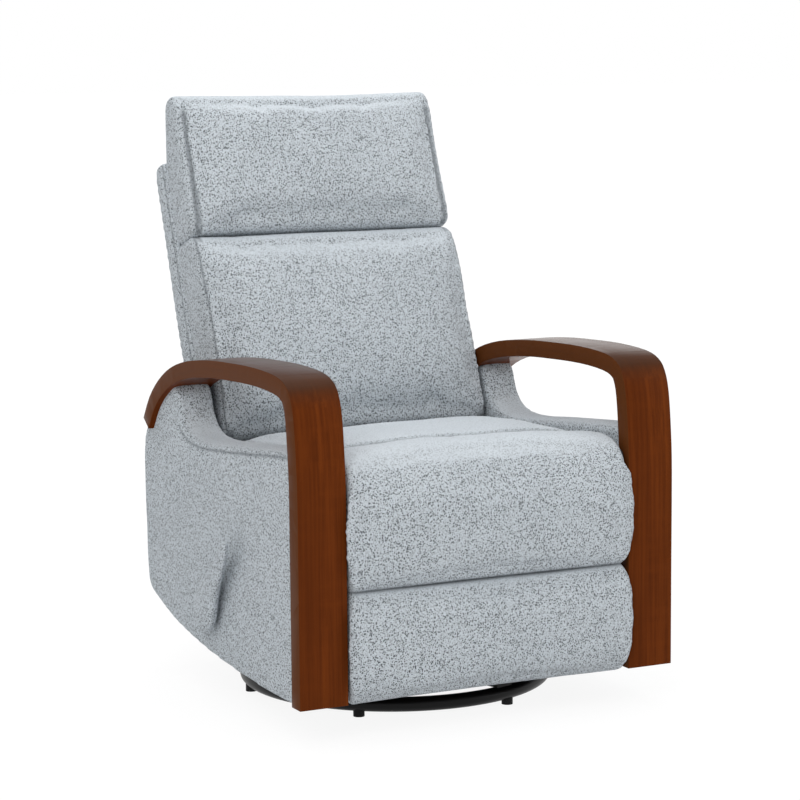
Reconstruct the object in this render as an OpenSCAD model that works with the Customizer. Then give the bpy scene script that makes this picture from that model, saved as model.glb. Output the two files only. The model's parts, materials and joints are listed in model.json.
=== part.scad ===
/* [Overall] */
// Width over the two arms
overall_w = 720; // [680:5:780]
// Distance from the swivel axis forward to the front of the posts
front_reach = 372; // [352:2:392]
// Height of the arm tops
arm_h = 620; // [600:2:640]
// Length of an arm from its front face to its rear tip
arm_len = 694; // [674:2:714]
// Tilt of the back from upright, in degrees
back_tilt = 20; // [16:1:24]

/* [Arms] */
// Width of an arm board
arm_w = 88; // [80:1:96]
// Thickness of the post, the front stretch of an arm
post_t = 34; // [30:1:36]
// Thickness of the arm behind the front bend
arm_t = 31; // [27:1:33]
// Height of the foot of a post above the floor
post_foot_z = 67; // [62:1:78]
// Diameter of a bolt through an arm
arm_bolt_d = 9; // [7:0.5:11]

/* [Side panels] */
// Thickness of a side panel
panel_t = 60; // [54:1:64]
// Rounding of the padded edge of a side panel
panel_round = 16; // [10:1:20]
// Height of the top of the low padded rail at its front
panel_rail_z = 488; // [476:1:492]

/* [Cushions] */
// Half-width share kept by the middle of a cushion side, where it draws in
draw_in_share = 0.985; // [0.96:0.005:1]
// Length of the seat cushion
seat_len = 424; // [410:2:428]
// Thickness of the seat cushion at its edges
seat_t = 108; // [100:1:112]
// Crown on top of the seat cushion
seat_crown = 14; // [6:1:18]
// Clearance between a cushion and the post at each side
cushion_gap = 10; // [9:1:16]
// Length of the lower back cushion
back_len = 386; // [370:2:392]
// Thickness of the lower back cushion at its boxing
back_t = 100; // [90:1:104]
// Crown of the lower back cushion
back_crown = 33; // [20:1:36]
// Length of the head pillow
pillow_len = 262; // [248:2:268]
// Thickness of the head pillow
pillow_t = 96; // [86:1:100]
// Crown of the head pillow
pillow_crown = 12; // [6:1:18]
// Thickness of the padded shell behind the back
shell_t = 50; // [42:1:54]
// Length of the padded shell behind the back
shell_len = 570; // [550:2:576]

/* [Swivel base] */
// Radius to the middle of the tube of the floor ring
ring_r = 272; // [262:2:290]
// Diameter of the tube of the floor ring
ring_tube = 26; // [22:1:28]
// Height of the floor glides
glide_h = 9; // [6:1:12]
// Number of floor glides
glide_count = 6; // [4:1:10]
// Width of a bar of the cross
bar_w = 36; // [30:1:44]
// Thickness of a bar of the cross
bar_t = 6; // [5:0.5:8]
// Turn of the cross seen from above, in degrees
bar_turn = 17; // [0:1:45]
// Diameter of the bearing plates
bearing_d = 180; // [170:2:200]
// Number of balls in the bearing
ball_count = 16; // [8:1:20]
// Diameter of a bearing ball
ball_d = 8; // [7:0.5:9]
// Diameter of the swivel spindle
spindle_d = 16; // [14:1:20]

/* [Glide] */
// Length of a glide link between its pivots
link_len = 140; // [130:1:146]
// Width of a link
link_w = 24; // [20:1:26]
// Thickness of the link plates
plate_t = 6; // [5:0.5:6]
// Distance between the front and rear glide pivots
glide_pivots = 160; // [150:2:170]
// Diameter of the pivot pins
pin_d = 10; // [8:0.5:11]
// Clearance between a pin and its bore, across
pin_gap = 0.4; // [0.3:0.1:0.6]

/* [Legrest] */
// Length of a main legrest link
main_link = 148; // [148:1:150]
// Thickness of the pads in front of the boards
pad_t = 47; // [42:1:48]
// Thickness of the legrest boards
board_t = 11; // [9:1:12]
// Height of the seam between the two front pads
pad_seam_z = 255; // [250:1:258]
// Gap between the two front pads
pad_seam_gap = 6; // [6:0.5:9]
// Diameter of the legrest cross tube
torque_d = 18; // [16:1:20]

/* [Lever] */
// Length of the lever from its pivot to its tip
lever_len = 220; // [190:5:240]
// Rise of the lever at rest from level, in degrees
lever_rise = 44; // [35:1:50]
// Lean of the lever outwards from the panel, in degrees
lever_flare = 9; // [0:1:12]
// Diameter of the lever shaft
shaft_d = 12; // [10:1:14]

/* [Hidden] */
over = 1;
gap = 0.3;
fine = 48;
half_w = overall_w / 2;
post_in_x = half_w - arm_w;
front_y = -front_reach;
post_back_y = front_y + post_t;
cushion_w = 2 * (post_in_x - cushion_gap);
arm_bolt_zs = [150, 400];
arm_bolt_len = 14;

// Base heights, one on another
tube_r = ring_tube / 2;
ring_z = glide_h + tube_r;
ring_top = ring_z + tube_r;
glide_d = 20;
glide_turn = 50;
ring_play = 0.04;
glide_step = 360 / glide_count;
cup_z = ring_top + bar_t;
cup_h = 13;
race_gap = 4;
turn_z = cup_z + cup_h + race_gap;
turn_t = 8;
race_r = 70;
race_clear = 0.15;
ball_z = turn_z - race_gap / 2;
spindle_head_d = 34;
spindle_head_t = 5;
hub_foot_d = 52;
hub_foot_gap = 1;
frame_z = turn_z + turn_t;
frame_h = 24;
frame_bar_w = 30;
frame_pitch = 120;

// Stands and glide links, from the middle outwards
stand_in = 67;
stand_x = post_in_x - stand_in;
side_gap = 0.5;
link_x = stand_x + plate_t + side_gap;
rail_x = link_x + plate_t + side_gap;
pin_head_t = 2.5;
pin_head_d = 18;
upper_z = 270;
lower_z = upper_z - link_len;
pivot_y = glide_pivots / 2;
stand_ear_y = 15;
stand_ear_z = 14;
stand_half = pivot_y + stand_ear_y;
stand_top = upper_z + stand_ear_z;
glide_rail_w = 24;
cross_y = 146;
cross_bar = 22;
glide_rail_half = cross_y + cross_bar / 2;
cross_z = lower_z - glide_rail_w / 2 - cross_bar;

// Side panels and the plates inside them
panel_step = 15;
panel_in_x = half_w - panel_step - panel_t;
panel_out_x = panel_in_x + panel_t;
mech_x = panel_in_x - plate_t;
mech_front_gap = 75;
mech_front = front_y + mech_front_gap;
mech_back = 250;
mech_z = cross_z;
mech_rear_z = 118;
mech_top = 330;
mech_rear_top = 250;
panel_back_y = 347;
panel_foot_z = post_foot_z - 1;
panel_rear_z = 152;
panel_hip_z = 340;
panel_gap = 0.5;
valance_t = 14;
valance_z = 140;
valance_top = 372;
valance_in = 29;
valance_y = panel_back_y - valance_in;

// Seat carriage
seat_rail_t = 8.5;
seat_rail_x = mech_x - gap - seat_rail_t;
seat_rail_h = 40;
seat_rail_z = 296;
seat_rail_front = mech_front + 1;
seat_rail_back = 206;
slide_len = 40;
guide_d = 10;
guide_front_in = 82;
guide_rear_in = 76;
guide_z = seat_rail_z + seat_rail_h / 2;
guide_head_t = 3;
bracket_gap = 8;
bracket_x = post_in_x - bracket_gap;
bracket_t = seat_rail_x - bracket_x;
seat_bar = 24;
seat_front_gap = 73;
seat_front_y = front_y + seat_front_gap;
seat_front_bar_in = 37;
seat_rear_bar_in = 29;
seat_front_bar_y = seat_front_y + seat_front_bar_in;
seat_rear_bar_y = seat_front_y + seat_len - seat_rear_bar_in;
guide_ys = [seat_front_bar_y + guide_front_in, seat_rear_bar_y - guide_rear_in];
web_t = 3;
web_w = 46;
web_count = 5;
web_top = seat_rail_z + seat_rail_h + web_t;
seat_tilt = 2.5;
seat_edge = 26;
seat_rise = (seat_len - seat_edge) * sin(seat_tilt) + gap;

// Back hinge and the back, in its own tilted frame
hinge_y = 190;
hinge_z = 430;
back_front = -50;
back_low = -6;
pillow_seam = 7;
pillow_up = back_len + back_low + pillow_seam;
shell_low = -12;
back_plate_gap = 9;
back_plate_x = post_in_x - back_plate_gap;
back_plate_t = 5;
post_tube = 22;
back_post_len = 560;
back_edge = 24;
pillow_edge = 30;
pillow_back = 4;
shell_edge = 12;
shell_belly = 6;

// Legrest pivots
torque_back = 70;
torque_y = front_y + torque_back;
torque_z = 265;
pad_hinge_back = 30;
pad_hinge_y = front_y + pad_hinge_back;
pad_hinge_z = 440;
knee_z = torque_z - main_link;
pad_pivot_z = 244;
main_in = 82;
main_x = post_in_x - main_in;
fold_x = main_x + plate_t + side_gap;
lug_x = fold_x + plate_t + side_gap;
pad_proud = 12;
pad_foot_z = 69;
pad_roll = 39;
pad_bulge = 7;
pad_edge = 15;
pad_round = 9;
lower_pad_top = pad_seam_z - pad_seam_gap / 2;
upper_pad_foot = pad_seam_z + pad_seam_gap / 2;
board_in = 12;
upper_board_top = 400;
pad_gap = 15;
pad_half = post_in_x - pad_gap;
low_pad_half = post_in_x - cushion_gap;
board_y = front_y - pad_proud + pad_t + gap;

// Lever
lever_y = 16;
lever_z = 162;
lever_w = 34;
lever_tip_w = 22;
lever_t = 16;
lever_hub = 44;
lever_grip = lever_len - lever_tip_w;
bushing_d = 44;
bushing_t = 5;

// A curve through control points, with steps points between each pair
function spline(p, steps) = [
  for (i = [0 : len(p) - 2], k = [0 : steps - 1])
    let (a = p[max(i - 1, 0)], b = p[i], c = p[i + 1], d = p[min(i + 2, len(p) - 1)], t = k / steps)
      0.5 * (2 * b + t * (c - a) + t * t * (2 * a - 5 * b + 4 * c - d)
             + t * t * t * (3 * b - a - 3 * c + d)),
  p[len(p) - 1]
];

// The left-hand normal at point i of an open or closed run of points
function unit(v) = v / norm(v);
function along(p, i, closed) =
  let (n = len(p))
    closed ? unit(p[(i + 1) % n] - p[(i + n - 1) % n])
           : unit(p[min(i + 1, n - 1)] - p[max(i - 1, 0)]);
function shifted(p, d, closed) = [
  for (i = [0 : len(p) - 1])
    let (t = along(p, i, closed)) p[i] + d * [-t[1], t[0]]
];
function reversed(p) = [for (i = [len(p) - 1 : -1 : 0]) p[i]];

// An arc of points round a centre, from angle a to angle b
function arc(c, r, a, b, steps) = [
  for (i = [0 : steps]) c + r * [cos(a + (b - a) * i / steps), sin(a + (b - a) * i / steps)]
];

// A closed outline in Y and Z, lofted along X, with each layer as [x, inset].
// Both end faces fan out from the hub, a point that sees the whole outline.
module loft_x(outline, layers, hub) {
  n = len(outline);
  m = len(layers);
  points = concat(
    [for (l = layers, p = shifted(outline, l[1], true)) [l[0], p[0], p[1]]],
    [for (l = [layers[0], layers[m - 1]]) [l[0], hub[0], hub[1]]]
  );
  walls = [
    for (j = [0 : m - 2], i = [0 : n - 1])
      each [[j * n + i, (j + 1) * n + i, j * n + (i + 1) % n],
            [j * n + (i + 1) % n, (j + 1) * n + i, (j + 1) * n + (i + 1) % n]]
  ];
  ends = [
    for (i = [0 : n - 1])
      each [[m * n, i, (i + 1) % n],
            [m * n + 1, (m - 1) * n + (i + 1) % n, (m - 1) * n + i]]
  ];
  polyhedron(points, concat(walls, ends), convexity = 6);
}

// Layers that round both faces of a loft between x0 and x1
function round_layers(x0, x1, r) = concat(
  [for (a = [0, 30, 60, 90]) [x0 + r * (1 - cos(a)), r * (1 - sin(a))]],
  [for (a = [90, 60, 30, 0]) [x1 - r * (1 - cos(a)), r * (1 - sin(a))]]
);

// A cushion lying in X and Y, base at Z zero: rounded plan, drawn-in sides, crown above and below
module cushion(w, l, t, crown, belly, edge) {
  n = 36;
  square_share = 0.24;
  plan = [
    for (i = [0 : n - 1])
      let (
        a = 360 * (i + 0.5) / n,
        c = cos(a),
        s = sin(a),
        k = 1 - (1 - draw_in_share) * pow(cos(2 * a), 2)
      )
        [sign(c) * pow(abs(c), square_share) * k / 2, sign(s) * pow(abs(s), square_share) * k / 2]
  ];
  dome = [0.35, 0.65, 0.88];
  turn = [0, 45, 90];
  rings = concat(
    [for (d = dome) [d, -belly * (1 - d * d), 0]],
    [for (a = turn) [1, edge * (1 - cos(a)), edge * (1 - sin(a))]],
    [for (a = reversed(turn)) [1, t - edge * (1 - cos(a)), edge * (1 - sin(a))]],
    [for (d = reversed(dome)) [d, t + crown * (1 - d * d), 0]]
  );
  m = len(rings);
  points = concat(
    [[0, 0, -belly]],
    [
      for (r = rings, p = plan)
        [p[0] * (w - 2 * max(r[2], r[0] < 1 ? edge : 0)) * r[0],
         p[1] * (l - 2 * max(r[2], r[0] < 1 ? edge : 0)) * r[0], r[1]]
    ],
    [[0, 0, t + crown]]
  );
  last = len(points) - 1;
  faces = concat(
    [for (i = [0 : n - 1]) [0, 1 + i, 1 + (i + 1) % n]],
    [
      for (j = [0 : m - 2], i = [0 : n - 1])
        each [[1 + j * n + i, 1 + (j + 1) * n + i, 1 + j * n + (i + 1) % n],
              [1 + j * n + (i + 1) % n, 1 + (j + 1) * n + i, 1 + (j + 1) * n + (i + 1) % n]]
    ],
    [for (i = [0 : n - 1]) [last, last - n + (i + 1) % n, last - n + i]]
  );
  polyhedron(points, faces, convexity = 4);
}

// A round bar along X between two places
module bar_x(d, x0, x1, y, z) {
  translate([x0, y, z]) rotate([0, 90, 0]) cylinder(d = d, h = x1 - x0, $fn = fine);
}

// A bore along X right through x0 to x1
module bore_x(d, x0, x1, y, z) {
  bar_x(d, x0 - over, x1 + over, y, z);
}

// A plate in Y and Z from x0, as thick as t
module plate_x(points, x0, t) {
  translate([x0, 0, 0]) rotate([90, 0, 90]) linear_extrude(t) polygon(points);
}

// A link plate with round ends between two pivots, one straight above the other
module link_x(x0, t, w, y, z_low, z_high, d) {
  difference() {
    union() {
      translate([x0, y - w / 2, z_low]) cube([t, w, z_high - z_low]);
      bar_x(w, x0, x0 + t, y, z_low);
      bar_x(w, x0, x0 + t, y, z_high);
    }
    bore_x(d, x0, x0 + t, y, z_low);
    bore_x(d, x0, x0 + t, y, z_high);
  }
}

// A pin along X with a flat head at its start
module headed_pin(x_head, x_end, y, z, d, head_d, head_t) {
  bar_x(head_d, x_head, x_head + head_t, y, z);
  bar_x(d, x_head + head_t, x_end, y, z);
}

// The same solid on both sides of the chair
module both_sides() {
  children();
  mirror([1, 0, 0]) children();
}

module on_side(s) {
  if (s > 0) children();
  else mirror([1, 0, 0]) children();
}

// Swivel base
module base_ring() {
  color("#17181a") translate([0, 0, ring_z])
    rotate_extrude($fn = 120) translate([ring_r, 0]) circle(r = tube_r, $fn = fine);
}

module base_cross() {
  bar_len = 2 * (ring_r + tube_r - bar_t);
  color("#1d1e20") difference() {
    translate([0, 0, ring_top]) rotate([0, 0, bar_turn]) union() {
      translate([-bar_len / 2, -bar_w / 2, 0]) cube([bar_len, bar_w, bar_t]);
      translate([-bar_w / 2, -bar_len / 2, 0]) cube([bar_w, bar_len, bar_t]);
    }
    translate([0, 0, ring_top - over])
      cylinder(d = spindle_d + pin_gap, h = bar_t + 2 * over, $fn = fine);
  }
}

module base_glides() {
  collar = glide_h + tube_r / 2;
  color("#0e0e0f") for (i = [0 : glide_count - 1]) rotate([0, 0, glide_turn + glide_step * i])
    translate([ring_r, 0, 0]) difference() {
      cylinder(d = glide_d, h = collar, $fn = fine);
      translate([-ring_r, 0, ring_z]) rotate_extrude($fn = 120)
        translate([ring_r, 0]) circle(r = tube_r + ring_play, $fn = fine);
    }
  color("#0e0e0f") difference() {
    cylinder(d = hub_foot_d, h = ring_top, $fn = fine);
    translate([0, 0, ring_top - spindle_head_t - hub_foot_gap])
      cylinder(d = spindle_head_d + 2 * hub_foot_gap, h = ring_top, $fn = fine);
  }
}

module bearing_cup() {
  color("#2a2c2f") translate([0, 0, cup_z]) difference() {
    cylinder(d = bearing_d, h = cup_h, $fn = 96);
    translate([0, 0, -over]) cylinder(d = spindle_d + pin_gap, h = cup_h + 2 * over, $fn = fine);
    translate([0, 0, ball_z - cup_z]) rotate_extrude($fn = 96)
      translate([race_r, 0]) circle(r = ball_d / 2 + race_clear, $fn = fine);
  }
}

module bearing_balls() {
  color("#c8ccd0") for (i = [0 : ball_count - 1]) rotate([0, 0, 360 * i / ball_count])
    translate([race_r, 0, ball_z]) sphere(d = ball_d, $fn = fine);
}

module swivel_spindle() {
  top = frame_z + spindle_head_t;
  color("#8a8f94") union() {
    translate([0, 0, ring_top - spindle_head_t])
      cylinder(d = spindle_head_d, h = spindle_head_t, $fn = fine);
    translate([0, 0, ring_top]) cylinder(d = spindle_d, h = top - ring_top, $fn = fine);
    translate([0, 0, frame_z + gap]) cylinder(d = spindle_head_d, h = spindle_head_t, $fn = fine);
  }
}

module turntable_plate() {
  color("#33363a") translate([0, 0, turn_z]) difference() {
    cylinder(d = bearing_d, h = turn_t, $fn = 96);
    translate([0, 0, -over]) cylinder(d = spindle_d + pin_gap, h = turn_t + 2 * over, $fn = fine);
    translate([0, 0, ball_z - turn_z]) rotate_extrude($fn = 96)
      translate([race_r, 0]) circle(r = ball_d / 2 + race_clear, $fn = fine);
  }
}

// Glide base
module glide_frame() {
  color("#222427") for (s = [-1, 1]) translate([-stand_x, s * frame_pitch / 2 - frame_bar_w / 2, frame_z])
    cube([2 * stand_x, frame_bar_w, frame_h]);
}

module stand() {
  foot = frame_pitch / 2 + frame_bar_w / 2;
  low = frame_z;
  color("#222427") difference() {
    plate_x([[-foot, low], [foot, low], [stand_half, upper_z - pin_d], [stand_half, stand_top],
             [-stand_half, stand_top], [-stand_half, upper_z - pin_d]], stand_x, plate_t);
    plate_x([[-foot + frame_bar_w, low + frame_h], [foot - frame_bar_w, low + frame_h],
             [pivot_y - link_w, upper_z - link_w], [link_w - pivot_y, upper_z - link_w]],
            stand_x - over, plate_t + 2 * over);
    for (s = [-1, 1]) bore_x(pin_d + pin_gap, stand_x, stand_x + plate_t, s * pivot_y, upper_z);
  }
}

module left_stand() { on_side(-1) stand(); }
module right_stand() { on_side(1) stand(); }

module upper_pins() {
  color("#9aa0a6") both_sides() for (s = [-1, 1])
    headed_pin(stand_x - pin_head_t, link_x + plate_t + side_gap, s * pivot_y, upper_z,
               pin_d, pin_head_d, pin_head_t);
}

module glide_links(s) {
  color("#3a3d41") both_sides()
    link_x(link_x, plate_t, link_w, s * pivot_y, lower_z, upper_z, pin_d + pin_gap);
}

module front_glide_links() { glide_links(-1); }
module rear_glide_links() { glide_links(1); }

module lower_pins() {
  color("#9aa0a6") both_sides() for (s = [-1, 1]) {
    bar_x(pin_d, link_x, rail_x + plate_t, s * pivot_y, lower_z);
    bar_x(pin_head_d, rail_x + plate_t, rail_x + plate_t + pin_head_t, s * pivot_y, lower_z);
  }
}

// Chassis
module glide_rail() {
  color("#222427") difference() {
    translate([rail_x, -glide_rail_half, lower_z - glide_rail_w / 2])
      cube([plate_t, 2 * glide_rail_half, glide_rail_w]);
    for (s = [-1, 1]) bore_x(pin_d + pin_gap, rail_x, rail_x + plate_t, s * pivot_y, lower_z);
  }
}

module left_glide_rail() { on_side(-1) glide_rail(); }
module right_glide_rail() { on_side(1) glide_rail(); }

module cross_bar_at(y) {
  color("#222427") translate([-mech_x, y - cross_bar / 2, cross_z])
    cube([2 * mech_x, cross_bar, cross_bar]);
}

module front_cross_bar() { cross_bar_at(-cross_y); }
module rear_cross_bar() { cross_bar_at(cross_y); }

module mechanism_plate() {
  color("#2e3034") difference() {
    plate_x([[mech_front, mech_z], [cross_y + cross_bar, mech_z], [mech_back, mech_rear_z],
             [mech_back, mech_rear_top], [seat_rail_back, mech_top], [mech_front, mech_top]],
            mech_x, plate_t);
    for (y = guide_ys) bore_x(guide_d + pin_gap, mech_x, mech_x + plate_t, y, guide_z);
    bore_x(shaft_d + pin_gap, mech_x, mech_x + plate_t, lever_y, lever_z);
  }
}

module left_mechanism_plate() { on_side(-1) mechanism_plate(); }
module right_mechanism_plate() { on_side(1) mechanism_plate(); }

// The outer line of an arm: shares of its length back from the front face, and of its height
arm_line_shares = [
  [0, 0.4], [0, 0.66], [0.005, 0.774], [0.017, 0.887], [0.036, 0.946], [0.066, 0.977],
  [0.125, 0.994], [0.248, 1], [0.392, 0.996], [0.536, 0.987], [0.68, 0.968], [0.795, 0.936],
  [0.885, 0.888], [0.953, 0.829], [1, 0.76]
];
arm_steps = 3;
arm_top = concat([[front_y, post_foot_z]], spline(
  [for (s = arm_line_shares) [front_y + s[0] * arm_len, s[1] * arm_h]], arm_steps));
function arm_thick(i) =
  let (k = min(1, max(0, (i - 3 * arm_steps) / (4 * arm_steps)))) post_t + (arm_t - post_t) * k;
arm_under = [
  for (i = [0 : len(arm_top) - 1])
    let (t = along(arm_top, i, false)) arm_top[i] + arm_thick(i) * [t[1], -t[0]]
];

module arm() {
  color("#5e2c12") difference() {
    plate_x(concat(arm_top, reversed(arm_under)), post_in_x, arm_w);
    for (z = arm_bolt_zs) translate([post_in_x + arm_w / 2, front_y + post_t / 2, z])
      rotate([-90, 0, 0]) cylinder(d = arm_bolt_d + pin_gap, h = post_t, $fn = fine);
  }
}

module left_arm() { on_side(-1) arm(); }
module right_arm() { on_side(1) arm(); }

// Threaded inserts seated in the back of each post, flush with it
module arm_bolts() {
  color("#b8923a") both_sides() for (z = arm_bolt_zs)
    translate([post_in_x + arm_w / 2, post_back_y - arm_bolt_len, z])
      rotate([-90, 0, 0]) cylinder(d = arm_bolt_d, h = arm_bolt_len, $fn = fine);
}

// Side panel: belly-curved foot, tall hip at the rear that runs up under the arm
panel_foot_shares = [
  [0, 0], [0.12, 0.07], [0.3, 0.1], [0.5, 0.16], [0.7, 0.34], [0.8, 0.52], [0.88, 0.7], [0.955, 0.86]
];
panel_rear_shares = [[0.965, 0], [0.985, 0.2], [0.998, 0.5], [1, 0.8], [0.992, 1.15], [0.975, 1.5]];
panel_len = panel_back_y - post_back_y;
arm_last = len(arm_top) - 1;
wing_first = arm_last - 9;
wing_top = [for (i = [arm_last : -1 : wing_first])
  let (t = along(arm_top, i, false)) arm_under[i] + panel_gap * [t[1], -t[0]]];
wing_front = wing_top[len(wing_top) - 1];
panel_dip = 22;
panel_ease = 5.5;
panel_ease_z = 395;
panel_hub = [post_back_y + 0.64 * panel_len, panel_foot_z + 0.55 * (panel_rail_z - panel_foot_z)];
panel_dip_z = panel_rail_z - panel_dip;
panel_wing_len = 62;
panel_line = concat(
  [for (s = panel_foot_shares) [post_back_y + s[0] * panel_len,
                                panel_foot_z + s[1] * (panel_rear_z - panel_foot_z)]],
  [for (s = panel_rear_shares) [post_back_y + s[0] * panel_len,
                                panel_rear_z + s[1] * (panel_hip_z - panel_rear_z)]],
  wing_top,
  [
    wing_front + [-0.28 * panel_wing_len, -0.33 * (wing_front[1] - panel_dip_z)],
    wing_front + [-0.48 * panel_wing_len, -0.66 * (wing_front[1] - panel_dip_z)],
    wing_front + [-0.85 * panel_wing_len, -0.89 * (wing_front[1] - panel_dip_z)],
    wing_front + [-1.4 * panel_wing_len, panel_dip_z - wing_front[1]]
  ],
  [for (s = [0.42, 0.3, 0.15]) [post_back_y + s * panel_len, panel_rail_z - panel_dip * s * 2]],
  [[post_back_y + panel_ease, panel_rail_z], [post_back_y, panel_ease_z]]
);

module side_panel() {
  color("#b9c3cb") loft_x(panel_line, round_layers(panel_in_x, panel_out_x, panel_round), panel_hub);
}

module left_side_panel() {
  difference() {
    on_side(-1) side_panel();
    mirror([1, 0, 0]) bore_x(shaft_d + 2 * side_gap, panel_in_x, panel_out_x, lever_y, lever_z);
  }
}

module right_side_panel() { on_side(1) side_panel(); }

module rear_valance() {
  color("#aab4bc") translate([-panel_in_x, valance_y, valance_z])
    cube([2 * panel_in_x, valance_t, valance_top - valance_z]);
}

// Shoulder bolts that the seat rails slide on
module seat_guides() {
  color("#9aa0a6") both_sides() for (y = guide_ys) {
    bar_x(guide_d, seat_rail_x, mech_x + plate_t, y, guide_z);
    bar_x(seat_rail_h - 2 * pin_d, seat_rail_x - gap - guide_head_t, seat_rail_x - gap, y, guide_z);
    bar_x(guide_d, seat_rail_x - gap, seat_rail_x, y, guide_z);
  }
}

module lever_bushing() {
  color("#8f989f") mirror([1, 0, 0]) difference() {
    bar_x(bushing_d, panel_out_x, panel_out_x + bushing_t, lever_y, lever_z);
    bore_x(shaft_d + pin_gap, panel_out_x, panel_out_x + bushing_t, lever_y, lever_z);
  }
}

// Seat carriage
module slot_x(d, x0, x1, y0, y1, z) {
  bore_x(d, x0, x1, y0, z);
  bore_x(d, x0, x1, y1, z);
  translate([x0 - over, y0, z - d / 2]) cube([x1 - x0 + 2 * over, y1 - y0, d]);
}

module seat_rail() {
  color("#3a3d41") difference() {
    translate([seat_rail_x, seat_rail_front, seat_rail_z])
      cube([seat_rail_t, seat_rail_back - seat_rail_front, seat_rail_h]);
    for (y = guide_ys)
      slot_x(guide_d + pin_gap, seat_rail_x, seat_rail_x + seat_rail_t, y, y + slide_len, guide_z);
  }
}

module left_seat_rail() { on_side(-1) seat_rail(); }
module right_seat_rail() { on_side(1) seat_rail(); }

module seat_bar_at(y) {
  color("#3a3d41") translate([-seat_rail_x, y, seat_rail_z + seat_rail_h - seat_bar])
    cube([2 * seat_rail_x, seat_bar, seat_bar]);
}

module seat_front_bar() {
  color("#3a3d41") translate([-bracket_x, seat_front_bar_y, seat_rail_z + seat_rail_h - seat_bar])
    cube([2 * bracket_x, seat_bar, seat_bar]);
}

module seat_rear_bar() { seat_bar_at(seat_rear_bar_y); }

module seat_webbing() {
  step = cushion_w / (web_count + 1);
  color("#6b6250") for (i = [1 : web_count])
    translate([-cushion_w / 2 + i * step - web_w / 2, seat_front_bar_y, seat_rail_z + seat_rail_h])
      cube([web_w, seat_rear_bar_y + seat_bar - seat_front_bar_y, web_t]);
}

module seat_cushion() {
  color("#b9c3cb") translate([0, seat_front_y, web_top + seat_rise]) rotate([-seat_tilt, 0, 0])
    translate([0, seat_len / 2, 0]) cushion(cushion_w, seat_len, seat_t, seat_crown, 0, seat_edge);
}

// Plates that carry the legrest cross tube and the pivots of the upper front pad
module front_bracket() {
  ear = 15;
  foot = 52;
  color("#3a3d41") difference() {
    union() {
      plate_x([[torque_y - ear, torque_z], [torque_y + ear, torque_z], [torque_y + foot, seat_rail_z],
               [torque_y + foot, seat_rail_z + seat_rail_h], [torque_y - ear, seat_rail_z + seat_rail_h]],
              bracket_x, bracket_t);
      plate_x([[torque_y - ear, seat_rail_z], [torque_y + ear, seat_rail_z],
               [pad_hinge_y + ear - over, pad_hinge_z], [pad_hinge_y - ear + over, pad_hinge_z]],
              bracket_x, bracket_t);
      bar_x(2 * ear, bracket_x, bracket_x + bracket_t, torque_y, torque_z);
      bar_x(2 * (ear - over), bracket_x, bracket_x + bracket_t, pad_hinge_y, pad_hinge_z);
    }
    bore_x(torque_d + pin_gap, bracket_x, bracket_x + bracket_t, torque_y, torque_z);
    bore_x(pin_d + pin_gap, bracket_x, bracket_x + bracket_t, pad_hinge_y, pad_hinge_z);
  }
}

module front_brackets() { both_sides() front_bracket(); }

// Upright ears on the seat rails with the pins that the back turns on
module back_pivots() {
  ear_r = 15;
  ear_foot = 60;
  color("#3a3d41") both_sides() {
    plate_x([[seat_rail_back - ear_foot, seat_rail_z + seat_rail_h], [seat_rail_back, seat_rail_z + seat_rail_h],
             [hinge_y + ear_r - over, hinge_z], [hinge_y - ear_r + over, hinge_z]], seat_rail_x, seat_rail_t);
    bar_x(2 * (ear_r - over), seat_rail_x, seat_rail_x + seat_rail_t, hinge_y, hinge_z);
    bar_x(pin_d, back_plate_x, seat_rail_x, hinge_y, hinge_z);
  }
}

// The back, drawn upright at the origin and leaned into place
module leaned() {
  translate([0, hinge_y, hinge_z]) rotate([-back_tilt, 0, 0]) children();
}

post_front = back_front + back_t + side_gap;

module back_brackets() {
  plate_h = 130;
  color("#3a3d41") leaned() both_sides() difference() {
    translate([back_plate_x, -pin_head_d, -pin_head_d])
      cube([back_plate_t, pin_head_d + post_front + post_tube, plate_h]);
    bore_x(pin_d + pin_gap, back_plate_x, back_plate_x + back_plate_t, 0, 0);
  }
}

module back_posts() {
  color("#a88a5c") leaned() both_sides() translate([back_plate_x - post_tube, post_front, shell_low])
    cube([post_tube, post_tube, back_post_len]);
}

module back_rails() {
  span = back_plate_x - post_tube;
  last_z = shell_low + back_post_len - post_tube;
  color("#a88a5c") leaned() for (z = [shell_low, (shell_low + last_z) / 2, last_z])
    translate([-span, post_front, z]) cube([2 * span, post_tube, post_tube]);
}

// A cushion standing on its lower edge, with its crown to the front
module standing(w, l, t, crown, belly, edge, v, front) {
  translate([0, front + t, v + l / 2]) rotate([90, 0, 0]) cushion(w, l, t, crown, belly, edge);
}

module rear_shell() {
  off = post_front + post_tube + gap;
  color("#aab4bc") leaned()
    standing(cushion_w, shell_len, shell_t - post_tube, 0, shell_belly, shell_edge, shell_low, off);
}

module back_cushion() {
  color("#b9c3cb") leaned() standing(cushion_w, back_len, back_t, back_crown, 0, back_edge, back_low,
                                     back_front);
}

module head_pillow() {
  color("#b9c3cb") leaned() standing(cushion_w, pillow_len, pillow_t, pillow_crown, 0, pillow_edge,
                                     pillow_up, back_front + pillow_back);
}

// Legrest
module torque_tube() {
  inner = bracket_x + bracket_t;
  color("#4a4d52") difference() {
    bar_x(torque_d, -inner, inner, torque_y, torque_z);
    bore_x(torque_d - 2 * pin_head_t, -inner, inner, torque_y, torque_z);
  }
}

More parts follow.
